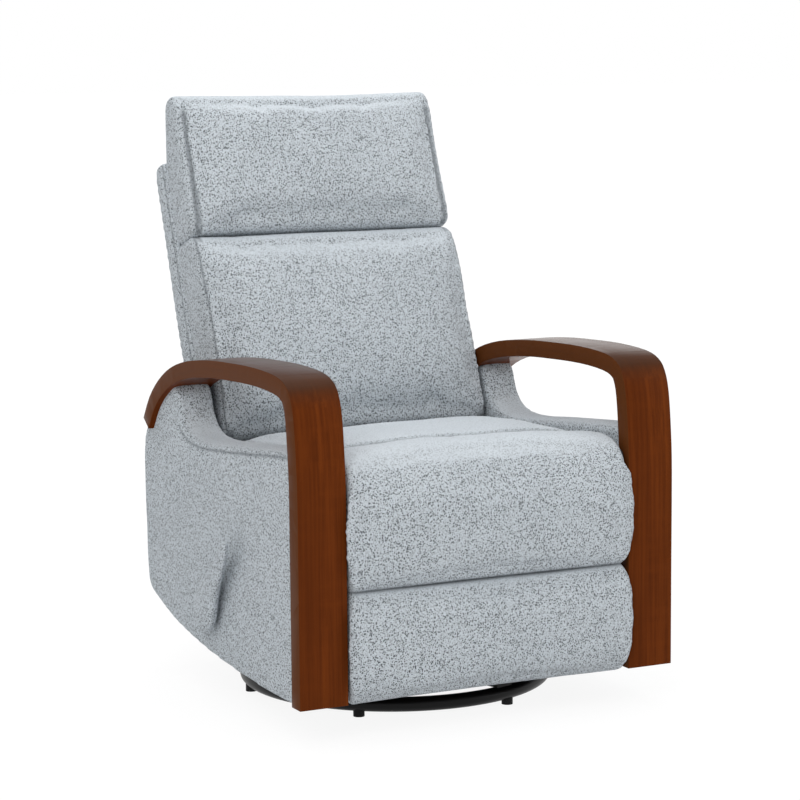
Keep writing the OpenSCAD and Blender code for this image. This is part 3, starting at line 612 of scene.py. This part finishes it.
def padSide(side, spec):
    outline = (
        curveThrough(spec["foot"], 5) + curveThrough(spec["rear"], 5)
        + curveThrough(spec["underArm"], 4) + curveThrough(spec["wing"], 5)
        + curveThrough(spec["rail"], 6)
    )
    thick = spec["outside"] - spec["inside"]
    name = ("left" if side < 0 else "right") + "SidePadding"
    piece = slab(name, outline, 0, thick, fabric)
    roundEnds(piece, spec["edge"], 4)
    remesh(piece, spec["voxel"], 3)
    applyModifier(piece, "SUBSURF", levels=1, render_levels=1)
    co, out = points(piece), normals(piece)
    across = (co[:, 0] - thick / 2) / (thick / 2)
    upper = np.clip(out[:, 2], 0, 1) * smoothStep(co[:, 2], *spec["topBand"])
    co[:, 2] += spec["crown"] * (1 - across ** 2) * upper
    # the outer face swells most in its middle
    outer = smoothStep(out[:, 0], 0.2, 0.9)
    middle = arch((co[:, 1] - spec["front"]) / spec["long"])
    middle = middle * arch((co[:, 2] - spec["bottom"]) / spec["tall"])
    amount, scale, seed = spec["unevenness"]
    co[:, 0] += spec["belly"] * outer * middle
    co[:, 0] += amount * outer * middle * ripple(co, scale, seed)
    setPoints(piece, co)
    # the seam of the top runs along the outer face only
    onFace = np.where(normals(piece)[:, 0] > -0.3, 0, farAway)
    away = toPolyline(co[:, 1:], spec["seam"]) + onFace
    amount, length, wander = spec["pucker"]
    near = 1 - smoothStep(away, *spec["puckerReach"])
    beat = np.sin(co[:, 1] * 2 * math.pi / length + 2 * np.sin(co[:, 1] * wander))
    co[:, 0] += amount * near * beat
    setPoints(piece, co)
    groove(piece, away, *spec["seamDent"])
    shadeSeam(piece, away, *spec["seamShade"])
    co = points(piece)
    co[:, 0] = (co[:, 0] + spec["inside"]) * side
    setPoints(piece, co)
    if side < 0:
        freshSelection(piece)
        bpy.ops.object.mode_set(mode="EDIT")
        bpy.ops.mesh.select_all(action="SELECT")
        bpy.ops.mesh.flip_normals()
        bpy.ops.object.mode_set(mode="OBJECT")
    freshSelection(piece)
    bpy.ops.object.shade_smooth()
    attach(piece, "chassis")
    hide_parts(("left" if side < 0 else "right") + "_side_panel")
    print("made", piece.name, len(piece.data.polygons), "faces")


padSide(-1, panelSpec)
padSide(1, panelSpec)


# The back leans; its pieces are laid out along it (up) and through it (rearwards)
backFrame = {"hinge": (0.190, 0.430), "tilt": 20.0}


def leanPoint(through, up):
    t = math.radians(backFrame["tilt"])
    return (backFrame["hinge"][0] + through * math.cos(t) + up * math.sin(t),
            backFrame["hinge"][1] - through * math.sin(t) + up * math.cos(t))


def unlean(co):
    t = math.radians(backFrame["tilt"])
    y, z = co[:, 1] - backFrame["hinge"][0], co[:, 2] - backFrame["hinge"][1]
    return y * math.cos(t) - z * math.sin(t), y * math.sin(t) + z * math.cos(t)


def lean(x, through, up):
    t = math.radians(backFrame["tilt"])
    y = backFrame["hinge"][0] + through * math.cos(t) + up * math.sin(t)
    z = backFrame["hinge"][1] - through * math.sin(t) + up * math.cos(t)
    return np.column_stack((x, y, z))


lumbarSpec = {
    "half": 0.2705,
    "corner": 0.007,
    "profile": [(-0.036, -0.002), (-0.050, 0.006), (-0.058, 0.030), (-0.062, 0.100),
                (-0.062, 0.180), (-0.058, 0.270), (-0.052, 0.345), (-0.045, 0.376),
                (-0.030, 0.390), (0.010, 0.392), (0.046, 0.390), (0.049, 0.376), (0.049, 0.200),
                (0.049, 0.004), (0.044, -0.003)],
    "seam": [(-0.040, -0.004), (-0.052, 0.012), (-0.057, 0.080), (-0.058, 0.161),
             (-0.055, 0.270), (-0.049, 0.350), (-0.041, 0.378), (-0.026, 0.391)],
    "pressure": 4.5,
    "cap": 0.024,
    "sideShare": 0.15,
    "rearLimit": 0.0498,
    "crown": (0.012, 0.140),
    "ends": (-0.004, 0.3945),
    "seed": 11,
}
pillowSpec = {
    "half": 0.2695,
    "corner": 0.013,
    "profile": [(-0.034, 0.391), (-0.043, 0.398), (-0.047, 0.414), (-0.048, 0.470),
                (-0.048, 0.545), (-0.047, 0.622), (-0.041, 0.654), (-0.024, 0.668),
                (-0.004, 0.667), (0.010, 0.658), (0.024, 0.624), (0.040, 0.574), (0.047, 0.550),
                (0.048, 0.500), (0.048, 0.404), (0.040, 0.391)],
    "seam": [(-0.030, 0.390), (-0.040, 0.396), (-0.047, 0.416), (-0.048, 0.505), (-0.048, 0.612),
             (-0.047, 0.648), (-0.030, 0.671)],
    "pressure": 4.0,
    "cap": 0.020,
    "sideShare": 0.15,
    "rearLimit": 0.0498,
    "crown": (0.004, 0.510),
    "ends": (0.3905, 0.682),
    "seed": 12,
}


# What the two cushions of the back have in common
cushionSpec = {
    "voxel": 0.0062,
    "frontBand": (-0.055, -0.020),
    "wide": 0.262,
    "tall": 0.23,
    "drawIn": 0.003,
    "boxing": 0.020,
    "pucker": (0.0004, 0.017, 23),
    "puckerReach": (0.004, 0.026),
    "puckerSides": (0.20, 0.25),
    "unevenness": (0.0008, 4.5),
    "rearOf": 0.03,
    "seamDent": (0.0030, 0.0034),
    "seamShade": (0.0022, 0.75),
}


def boxedCushion(name, spec, nodes, common=cushionSpec):
    outline = [leanPoint(*p) for p in spec["profile"]]
    piece = slab(name, outline, -spec["half"], spec["half"], fabric)
    roundEnds(piece, spec["corner"], 3)
    remesh(piece, common["voxel"], 2)
    start = points(piece)
    inflate(piece, spec["pressure"], spec["cap"])
    co = points(piece)
    move = co - start
    move[:, 0] *= spec["sideShare"]
    co = start + move
    through, up = unlean(co)
    front = 1 - smoothStep(through, *common["frontBand"])
    wide = 1 - (np.abs(co[:, 0]) / common["wide"]) ** 4
    amount, centre = spec["crown"]
    tall = np.clip(1 - ((up - centre) / common["tall"]) ** 2, 0, 1)
    through -= amount * front * np.clip(wide, 0, 1) * tall
    through = np.minimum(through, spec["rearLimit"])
    low, high = spec["ends"]
    up = np.clip(up, low, high)
    # sides draw in a little between the corners
    middle = (low + high) / 2
    draw = 1 - ((up - middle) / ((high - low) / 2)) ** 2
    x = co[:, 0] * (1 - common["drawIn"] * np.clip(draw, 0, 1))
    setPoints(piece, lean(x, through, up))
    applyModifier(piece, "SUBSURF", levels=1, render_levels=1)
    co = points(piece)
    through, up = unlean(co)
    flat = np.column_stack((through, up))
    side = np.abs(co[:, 0])
    away = toPolyline(flat, spec["seam"])
    # the boxing seam runs round both sides where the front face meets them
    away = np.where(side > spec["half"] - common["boxing"], away, farAway)
    near = 1 - smoothStep(away, *common["puckerReach"])
    near = near * smoothStep(side, *common["puckerSides"])
    amount, length, wander = common["pucker"]
    rise, scale = common["unevenness"]
    pucker = np.sin(up * 2 * math.pi / length + 3 * np.sin(up * wander + spec["seed"]))
    uneven = ripple(co, scale, spec["seed"]) * (through < common["rearOf"])
    shift = amount * near * pucker + rise * uneven
    setPoints(piece, co + normals(piece) * shift[:, None])
    groove(piece, away, *common["seamDent"])
    shadeSeam(piece, away, *common["seamShade"])
    freshSelection(piece)
    bpy.ops.object.shade_smooth()
    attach(piece, "back")
    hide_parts(*nodes)
    print("made", piece.name, len(piece.data.polygons), "faces")


boxedCushion("lumbarCushion", lumbarSpec, ["back_cushion"])
boxedCushion("headPillow", pillowSpec, ["head_pillow"])


# Padded shell behind the back
shellSpec = {
    "half": 0.2680,
    "profile": [(0.0470, -0.014), (0.0470, 0.556), (0.056, 0.562), (0.072, 0.563),
                (0.090, 0.559), (0.101, 0.545), (0.105, 0.520), (0.108, 0.400), (0.109, 0.250),
                (0.107, 0.100), (0.103, 0.010), (0.095, -0.008), (0.080, -0.014),
                (0.060, -0.014)],
    "edge": 0.0060,
    "seams": [0.060, 0.099],
    "crown": 0.009,
    "voxel": 0.0065,
    "rearBand": (0.085, 0.100),
    "wide": 0.266,
    "centre": 0.27,
    "tall": 0.30,
    "unevenness": (0.0012, 3.5, 21),
    "sideSwell": 0.003,
    "sideBand": (0.24, 0.262),
    "sideFrom": 0.052,
    "sideDeep": 0.055,
    "rim": (0.235, 0.540, 0.004),  # half width, top and bottom past which the seams show
    "pucker": (0.0006, 0.019, 27),
    "puckerReach": (0.003, 0.020),
    "seamDent": (0.0026, 0.0030),
    "seamShade": (0.0020, 0.7),
}


def backShell(spec):
    outline = [leanPoint(*p) for p in spec["profile"]]
    piece = slab("backShell", outline, -spec["half"], spec["half"], fabric)
    roundEnds(piece, spec["edge"], 3)
    remesh(piece, spec["voxel"], 3)
    applyModifier(piece, "SUBSURF", levels=1, render_levels=1)
    co = points(piece)
    through, up = unlean(co)
    side = np.abs(co[:, 0])
    rear = smoothStep(through, *spec["rearBand"])
    wide = np.clip(1 - (side / spec["wide"]) ** 2.5, 0, 1)
    tall = np.clip(1 - ((up - spec["centre"]) / spec["tall"]) ** 4, 0, 1)
    amount, scale, seed = spec["unevenness"]
    through += spec["crown"] * rear * wide * tall + amount * rear * ripple(co, scale, seed)
    bulge = spec["sideSwell"] * smoothStep(side, *spec["sideBand"]) * np.clip(
        np.sin(math.pi * (through - spec["sideFrom"]) / spec["sideDeep"]), 0, 1)
    setPoints(piece, lean(co[:, 0] + np.sign(co[:, 0]) * bulge, through, up))
    # two seams run round the sides, the top and the bottom
    co = points(piece)
    through, up = unlean(co)
    halfWidth, top, bottom = spec["rim"]
    rim = (np.abs(co[:, 0]) > halfWidth) | (up > top) | (up < bottom)
    away = np.full(len(co), farAway)
    for seam in spec["seams"]:
        away = np.minimum(away, np.where(rim, np.abs(through - seam), farAway))
    amount, length, wander = spec["pucker"]
    near = 1 - smoothStep(away, *spec["puckerReach"])
    pucker = amount * near * np.sin(up * 2 * math.pi / length + np.sin(up * wander))
    setPoints(piece, co + normals(piece) * pucker[:, None])
    groove(piece, away, *spec["seamDent"])
    shadeSeam(piece, away, *spec["seamShade"])
    freshSelection(piece)
    bpy.ops.object.shade_smooth()
    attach(piece, "back")
    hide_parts("rear_shell")
    print("made", piece.name, len(piece.data.polygons), "faces")


backShell(shellSpec)


# Seat cushion between the panels, behind the front pad
seatSpec = {
    "half": 0.2660,
    "profile": [(-0.262, 0.350), (-0.262, 0.452), (-0.246, 0.464), (-0.200, 0.470), (-0.100, 0.467),
                (0.000, 0.461), (0.070, 0.455), (0.106, 0.446), (0.121, 0.430), (0.123, 0.400),
                (0.118, 0.352), (0.100, 0.341), (-0.100, 0.341), (-0.240, 0.341)],
    "pressure": 4.0,
    "cap": 0.022,
    "edge": 0.016,
    "voxel": 0.0065,
    "give": (0.15, 0.25, 0.7),  # share of the swelling kept across, along and upwards
    "floor": 0.3395,
    "rearLimit": 0.1245,
    "topBand": (0.44, 0.462),
    "unevenness": (0.0016, 4.0, 31),
    "channel": (0.196, 0.30),
    "channelDent": (0.0045, 0.0050),
    "channelShade": (0.0024, 0.7),
}


def seatPad(spec):
    piece = slab("seatPad", spec["profile"], -spec["half"], spec["half"], fabric)
    roundEnds(piece, spec["edge"], 3)
    remesh(piece, spec["voxel"], 2)
    start = points(piece)
    inflate(piece, spec["pressure"], spec["cap"])
    co = points(piece)
    move = co - start
    across, along, upwards = spec["give"]
    move[:, 0] *= across
    move[:, 1] *= along
    move[:, 2] *= np.where(move[:, 2] > 0, upwards, 0.0)
    co = start + move
    co[:, 2] = np.maximum(co[:, 2], spec["floor"])
    co[:, 1] = np.minimum(co[:, 1], spec["rearLimit"])
    setPoints(piece, co)
    applyModifier(piece, "SUBSURF", levels=1, render_levels=1)
    co = points(piece)
    top = smoothStep(co[:, 2], *spec["topBand"])
    amount, scale, seed = spec["unevenness"]
    co[:, 2] += amount * top * ripple(co, scale, seed)
    setPoints(piece, co)
    # a sewn channel across the seat where the front pad is joined on
    place, bow = spec["channel"]
    away = np.abs(co[:, 1] + place + bow * co[:, 0] ** 2)
    away = np.where(co[:, 2] > spec["topBand"][0], away, farAway)
    groove(piece, away, *spec["channelDent"])
    shadeSeam(piece, away, *spec["channelShade"])
    freshSelection(piece)
    bpy.ops.object.shade_smooth()
    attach(piece, "carriage")
    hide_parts("seat_cushion")
    print("made", piece.name, len(piece.data.polygons), "faces")


seatPad(seatSpec)


# Front pad: starts on the seat, rolls over the front edge and hangs down to the seam
frontSpec = {
    "half": 0.2665,
    "profile": [(-0.214, 0.452), (-0.222, 0.466), (-0.250, 0.474), (-0.300, 0.477),
                (-0.332, 0.473), (-0.357, 0.460), (-0.374, 0.438), (-0.382, 0.405),
                (-0.385, 0.360), (-0.385, 0.315), (-0.381, 0.280), (-0.373, 0.259),
                (-0.357, 0.2515), (-0.3385, 0.2515), (-0.3380, 0.400), (-0.330, 0.418),
                (-0.300, 0.428), (-0.250, 0.432), (-0.220, 0.440)],
    "pressure": 3.5,
    "cap": 0.014,
    "arch": 0.42,
    "overPost": 0.013,
}
kneeSpec = {
    "half": 0.2665,
    "profile": [(-0.3385, 0.2585), (-0.357, 0.2585), (-0.374, 0.2520), (-0.383, 0.241),
                (-0.388, 0.205), (-0.389, 0.165), (-0.387, 0.118), (-0.382, 0.086),
                (-0.370, 0.069), (-0.355, 0.063), (-0.3385, 0.063)],
    "pressure": 3.5,
    "cap": 0.014,
    "overPost": 0.008,
}


# What the two pads in front have in common
padSpec = {
    "edge": 0.011,
    "voxel": 0.0058,
    "give": 0.4,
    "board": -0.3375,  # the front board that the pads lie against
    "boardTop": 0.40,
    "betweenPosts": 0.2690,
    "postBand": (-0.380, -0.3735),
    "sideBand": (0.030, 0.002),
    "pucker": (0.0007, 0.0155, 37),
    "slowPucker": (0.0009, 0.049),
    "facePucker": 0.0006,
    "faceBand": (-0.375, -0.360),
    "seatBand": (-0.300, -0.214),
    "topBand": (0.44, 0.465),
    "unevenness": (0.0011, 4.0),
    "topUnevenness": (0.0014, 4.5),
    "seamShade": (0.0030, 0.5),
}


def frontPad(name, spec, nodes, seed, seamAtTop, common=padSpec):
    half = spec["half"]
    piece = slab(name, spec["profile"], -half, half, fabric)
    roundEnds(piece, common["edge"], 3)
    remesh(piece, common["voxel"], 2)
    start = points(piece)
    inflate(piece, spec["pressure"], spec["cap"])
    co = points(piece)
    move = co - start
    move[:, 0] *= common["give"]
    co = start + move
    onBoard = co[:, 2] < common["boardTop"]
    co[:, 1] = np.where(onBoard, np.minimum(co[:, 1], common["board"]), co[:, 1])
    setPoints(piece, co)
    applyModifier(piece, "SUBSURF", levels=1, render_levels=1)
    co = points(piece)
    # where a pad stands in front of the posts its sides swell out and pucker
    amount, length, wander = common["pucker"]
    slowAmount, slowLength = common["slowPucker"]
    within, past = common["sideBand"]
    edge = smoothStep(np.abs(co[:, 0]), half - within, half + past)
    proud = edge * (1 - smoothStep(co[:, 1], *common["postBand"]))
    beat = np.sin(co[:, 2] * 2 * math.pi / length + 2.2 * np.sin(co[:, 2] * wander + seed))
    slow = np.sin(co[:, 2] * 2 * math.pi / slowLength + seed)
    low, high = co[:, 2].min(), co[:, 2].max()
    tall = np.clip(arch((co[:, 2] - low) / (0.94 * (high - low))), 0, 1)
    swell = spec["overPost"] * tall ** 0.5 + amount * beat + slowAmount * slow
    co[:, 0] += np.sign(co[:, 0]) * proud * swell
    limit = common["betweenPosts"]
    behind = co[:, 1] > common["postBand"][1]
    co[:, 0] = np.where(behind, np.clip(co[:, 0], -limit, limit), co[:, 0])
    face = 1 - smoothStep(co[:, 1], *common["faceBand"])
    rise, scale = common["unevenness"]
    co[:, 1] += rise * face * ripple(co, scale, seed) + common["facePucker"] * face * edge * beat
    if "arch" in spec:
        onSeat = smoothStep(co[:, 1], *common["seatBand"])
        co[:, 1] -= spec["arch"] * (co[:, 0] ** 2) * onSeat
        top = smoothStep(co[:, 2], *common["topBand"])
        rise, scale = common["topUnevenness"]
        co[:, 2] += rise * top * ripple(co, scale, seed + 1)
    setPoints(piece, co)
    shadeSeam(piece, np.abs(co[:, 2] - seamAtTop), *common["seamShade"])
    freshSelection(piece)
    bpy.ops.object.shade_smooth()
    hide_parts(*nodes)
    print("made", piece.name, len(piece.data.polygons), "faces")
    return piece


upper = frontPad("frontPad", frontSpec, ["upper_pad"], 5, 0.2560)
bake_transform(upper)
lower = frontPad("kneePad", kneeSpec, ["lower_pad"], 6, 0.2550)
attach(lower, "lower_rest")


# Cloth-covered outside back of the seat box
valanceSpec = {
    "across": 0.2845,
    "profile": [(0.3185, 0.141), (0.3315, 0.141), (0.3340, 0.150), (0.3345, 0.250), (0.3340, 0.362),
                (0.3315, 0.371), (0.3185, 0.371)],
    "edge": 0.003,
    "voxel": 0.0050,
    "rearBand": (0.326, 0.332),
    "crown": (0.003, 0.285),
    "unevenness": (0.0012, 4.0, 41),
    "hems": (0.152, 0.360),
    "hemDent": (0.0016, 0.0030),
    "hemShade": (0.0022, 0.6),
}


def outsideBack(spec):
    piece = slab("outsideBack", spec["profile"], -spec["across"], spec["across"], fabric)
    roundEnds(piece, spec["edge"], 2)
    remesh(piece, spec["voxel"], 1)
    co = points(piece)
    crown, wide = spec["crown"]
    amount, scale, seed = spec["unevenness"]
    rear = smoothStep(co[:, 1], *spec["rearBand"])
    co[:, 1] += rear * (crown * (1 - (co[:, 0] / wide) ** 2) + amount * ripple(co, scale, seed))
    setPoints(piece, co)
    lowHem, highHem = spec["hems"]
    away = np.minimum(np.abs(co[:, 2] - lowHem), np.abs(co[:, 2] - highHem))
    groove(piece, away, *spec["hemDent"])
    shadeSeam(piece, away, *spec["hemShade"])
    freshSelection(piece)
    bpy.ops.object.shade_smooth()
    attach(piece, "chassis")
    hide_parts("rear_valance")
    print("made", piece.name, len(piece.data.polygons), "faces")


outsideBack(valanceSpec)


# Bent-wood arms: copies of the CAD boards with eased edges and grain along the bend
armSpec = {
    "ease": 0.0028,
    "easeSteps": 3,
    "easeAngle": 32,
    "weld": 0.00005,
    "flatAngle": 0.5,
    "smoothAngle": 28,
    "joint": 0.44,  # where two staves meet, as a share of the board's width
    "heights": (0.10, 0.60, 0.03),
    "stations": (-0.33, 0.31, 0.02),
    # middle line of the board in Y and Z, from the low front corner of its box
    "bend": [(0.017, 0.0), (0.017, 0.43), (0.030, 0.495), (0.060, 0.522), (0.120, 0.531),
             (0.250, 0.532), (0.400, 0.525), (0.550, 0.495), (0.640, 0.445), (0.694, 0.398)],
}


def dressArm(node, spec):
    source = frame["nodes"][node]
    piece = bpy.data.objects.new(node.replace("_", " ").title().replace(" ", "") + "Board",
                                 source.data.copy())
    scene.collection.objects.link(piece)
    freshSelection(piece)
    bpy.ops.object.mode_set(mode="EDIT")
    bpy.ops.mesh.select_all(action="SELECT")
    bpy.ops.mesh.remove_doubles(threshold=spec["weld"])
    bpy.ops.mesh.dissolve_limited(angle_limit=math.radians(spec["flatAngle"]))
    bpy.ops.object.mode_set(mode="OBJECT")
    applyModifier(piece, "BEVEL", width=spec["ease"], segments=spec["easeSteps"],
                  limit_method="ANGLE", angle_limit=math.radians(spec["easeAngle"]),
                  harden_normals=False)
    freshSelection(piece)
    bpy.ops.object.mode_set(mode="EDIT")
    bpy.ops.mesh.select_all(action="SELECT")
    bpy.ops.mesh.quads_convert_to_tris()
    bpy.ops.object.mode_set(mode="OBJECT")
    # cuts give the grain its points, and one cut is the joint between the staves
    lo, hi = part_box(node)
    joint = lo.x + spec["joint"] * (hi.x - lo.x)
    freshSelection(piece)
    bpy.ops.object.mode_set(mode="EDIT")
    bpy.ops.mesh.select_all(action="SELECT")
    bpy.ops.mesh.bisect(plane_co=(joint, 0, 0), plane_no=(1, 0, 0))
    for height in np.arange(*spec["heights"]):
        bpy.ops.mesh.select_all(action="SELECT")
        bpy.ops.mesh.bisect(plane_co=(0, 0, float(height)), plane_no=(0, 0, 1))
    for back in np.arange(*spec["stations"]):
        bpy.ops.mesh.select_all(action="SELECT")
        bpy.ops.mesh.bisect(plane_co=(0, float(back), 0), plane_no=(0, 1, 0))
    bpy.ops.object.mode_set(mode="OBJECT")
    addGrain(piece, np.array(spec["bend"]) + (lo.y, lo.z), joint)
    freshSelection(piece)
    bpy.ops.object.shade_smooth_by_angle(angle=math.radians(spec["smoothAngle"]))
    piece.data.materials.clear()
    piece.data.materials.append(armWood)
    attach(piece, "chassis")
    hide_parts(node)
    print("made", piece.name, len(piece.data.polygons), "faces")


def addGrain(piece, bend, joint):
    # grain runs up the post, round the bend and back along the arm
    co = points(piece)
    steps = np.linalg.norm(np.diff(bend, axis=0), axis=1)
    start = np.concatenate(([0], np.cumsum(steps)))
    best = np.full(len(co), 1e9)
    along = np.zeros(len(co))
    deep = np.zeros(len(co))
    for i in range(len(steps)):
        a, b = bend[i], bend[i + 1]
        way = (b - a) / steps[i]
        rel = co[:, 1:] - a
        t = np.clip(rel @ way, 0, steps[i])
        far = np.linalg.norm(rel - t[:, None] * way, axis=1)
        closer = far < best
        best = np.where(closer, far, best)
        along = np.where(closer, start[i] + t, along)
        deep = np.where(closer, rel @ np.array((-way[1], way[0])), deep)
    layer = piece.data.attributes.new("grain", "FLOAT_VECTOR", "POINT")
    layer.data.foreach_set("vector", np.column_stack((along, co[:, 0], deep)).ravel())
    staves = piece.data.attributes.new("stave", "FLOAT", "FACE")
    middle = [1.0 if face.center.x < joint else 0.0 for face in piece.data.polygons]
    staves.data.foreach_set("value", middle)


for armNode in ("left_arm", "right_arm"):
    dressArm(armNode, armSpec)


# Cloth-covered lever on the left side, a bulb at its shaft and a slim grip
leverSpec = {
    "pivot": (0.022, 0.162),
    "rise": 44.0,
    "flare": 6.0,
    "inner": 0.3530,
    "widths": [(-0.034, 0.000), (-0.028, 0.022), (-0.012, 0.036), (0.010, 0.041), (0.034, 0.038),
               (0.060, 0.030), (0.095, 0.0225), (0.135, 0.0190), (0.178, 0.0165), (0.208, 0.0120),
               (0.221, 0.000)],
    "thick": [(-0.034, 0.006), (-0.012, 0.0125), (0.030, 0.0130), (0.100, 0.0095), (0.221, 0.0055)],
    "rings": 44,
    "around": 20,
    "middle": 0.013,
    "blunt": 0.8,
    "tip": 0.008,
    "voxel": 0.0030,
    "rimShade": (0.10, 0.5),
}


def leverHandle(spec):
    # a ringed cylinder takes its width and thickness from how far along the handle each ring is
    freshSelection()
    bpy.ops.mesh.primitive_cylinder_add(
        vertices=spec["around"], radius=1, depth=1, end_fill_type="NGON")
    piece = bpy.context.object
    selectEdges(piece, lambda a, b: abs(a.z - b.z) > 0.5)
    bpy.ops.mesh.subdivide_edgering(
        number_cuts=spec["rings"], interpolation="LINEAR", smoothness=0)
    bpy.ops.object.mode_set(mode="OBJECT")
    co = points(piece)
    share = co[:, 2] + 0.5
    first, last = spec["widths"][0][0], spec["widths"][-1][0]
    along = first + share * (last - first)
    wide = np.interp(along, *np.array(spec["widths"]).T)
    thick = np.interp(along, *np.array(spec["thick"]).T) * np.clip(wide / spec["tip"], 0.05, 1)
    angle = np.arctan2(co[:, 1], co[:, 0])
    across = np.sign(np.cos(angle)) * np.abs(np.cos(angle)) ** spec["blunt"] * wide
    out = np.sign(np.sin(angle)) * np.abs(np.sin(angle)) ** spec["blunt"] * thick
    rise = math.radians(spec["rise"])
    flare = math.radians(spec["flare"])
    centre = -(spec["inner"] + spec["middle"] + np.maximum(along, 0) * math.sin(flare))
    reach = np.where(along > 0, along * math.cos(flare), along)
    y = spec["pivot"][0] - reach * math.cos(rise) - across * math.sin(rise)
    z = spec["pivot"][1] + reach * math.sin(rise) - across * math.cos(rise)
    setPoints(piece, np.column_stack((centre + out, y, z)))
    settle(piece, "leverPaddle", fabric)
    freshSelection(piece)
    bpy.ops.object.mode_set(mode="EDIT")
    bpy.ops.mesh.select_all(action="SELECT")
    bpy.ops.mesh.normals_make_consistent(inside=False)
    bpy.ops.object.mode_set(mode="OBJECT")
    remesh(piece, spec["voxel"], 3)
    # painted shade round the rim, where the cover is sewn together, for the dark outline of shadow
    # round the handle
    shadeSeam(piece, np.abs(normals(piece)[:, 0]), *spec["rimShade"])
    freshSelection(piece)
    bpy.ops.object.shade_smooth()
    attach(piece, "lever")
    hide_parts("lever_handle")
    print("made", piece.name, len(piece.data.polygons), "faces")


leverHandle(leverSpec)


# Plain floor, white surround and soft lamps
studioSpec = {
    "floor": 60.0,
    "surround": 0.46,
    "key": ((-2.6, -3.0, 3.2), 2.6, 78.0),
    "fill": ((3.2, -2.6, 2.0), 3.0, 34.0),
    "top": ((0.0, 0.3, 3.4), 3.0, 44.0),
    "rear": ((0.6, 3.0, 2.0), 3.0, 24.0),
    "aim": (0, 0, 0.45),
    "white": (1, 1, 1, 1),
    "floorColour": (0.9, 0.9, 0.9, 1),
    "floorRough": 0.9,
    "floorGlow": (1.04, 0.87),
    "fade": (0.42, 0.85),
}


def seenRays(tree):
    # 1 for what the camera sees, also in a reflection or through glass
    rays = tree.nodes.new("ShaderNodeLightPath")
    found = rays.outputs["Is Camera Ray"]
    for other in ("Is Glossy Ray", "Is Transmission Ray"):
        larger = tree.nodes.new("ShaderNodeMath")
        larger.operation = "MAXIMUM"
        tree.links.new(found, larger.inputs[0])
        tree.links.new(rays.outputs[other], larger.inputs[1])
        found = larger.outputs[0]
    return found


def buildStudio(spec):
    world = bpy.data.worlds.new("surround")
    scene.world = world
    world.use_nodes = True
    nodes = world.node_tree.nodes
    links = world.node_tree.links
    back = nodes["Background"]
    back.inputs["Color"].default_value = spec["white"]
    level = nodes.new("ShaderNodeMapRange")
    level.inputs["To Min"].default_value = spec["surround"]
    level.inputs["To Max"].default_value = 1.0
    links.new(seenRays(world.node_tree), level.inputs[0])
    links.new(level.outputs[0], back.inputs["Strength"])
    freshSelection()
    bpy.ops.mesh.primitive_plane_add(size=2 * spec["floor"])
    floor = bpy.context.object
    floor.name = "studioFloor"
    material = bpy.data.materials.new("floorWhite")
    material.use_nodes = True
    floorNodes = material.node_tree.nodes
    floorLinks = material.node_tree.links
    shader = floorNodes["Principled BSDF"]
    shader.inputs["Base Color"].default_value = spec["floorColour"]
    shader.inputs["Roughness"].default_value = spec["floorRough"]
    shader.inputs["Specular IOR Level"].default_value = 0.0
    glow = floorNodes.new("ShaderNodeEmission")
    glow.inputs["Color"].default_value = spec["white"]
    glow.inputs["Strength"].default_value = spec["floorGlow"][0]
    blend = floorNodes.new("ShaderNodeMixShader")
    # near the chair its soft shadow stays; further out the floor fades into the white surround
    place = floorNodes.new("ShaderNodeTexCoord")
    length = floorNodes.new("ShaderNodeVectorMath")
    length.operation = "LENGTH"
    floorLinks.new(place.outputs["Object"], length.inputs[0])
    fade = floorNodes.new("ShaderNodeMapRange")
    fade.interpolation_type = "SMOOTHSTEP"
    near, far = spec["fade"]
    for key, value in (("From Min", near), ("From Max", far), ("To Min", spec["floorGlow"][1])):
        fade.inputs[key].default_value = value
    floorLinks.new(length.outputs["Value"], fade.inputs["Value"])
    share = floorNodes.new("ShaderNodeMath")
    share.operation = "MULTIPLY"
    floorLinks.new(fade.outputs["Result"], share.inputs[1])
    floorLinks.new(seenRays(material.node_tree), share.inputs[0])
    floorLinks.new(share.outputs[0], blend.inputs[0])
    floorLinks.new(shader.outputs[0], blend.inputs[1])
    floorLinks.new(glow.outputs[0], blend.inputs[2])
    floorLinks.new(blend.outputs[0], floorNodes["Material Output"].inputs["Surface"])
    floor.data.materials.append(material)
    for name in ("key", "fill", "top", "rear"):
        place, size, power = spec[name]
        lamp = bpy.data.lights.new(name, "AREA")
        lamp.shape = "DISK"
        lamp.size = size
        lamp.energy = power
        holder = bpy.data.objects.new(name, lamp)
        scene.collection.objects.link(holder)
        holder.location = place
        aim = Vector(spec["aim"]) - Vector(place)
        holder.rotation_euler = aim.to_track_quat("-Z", "Y").to_euler()
    scene.view_settings.view_transform = "Standard"
    print("studio ready")


buildStudio(studioSpec)
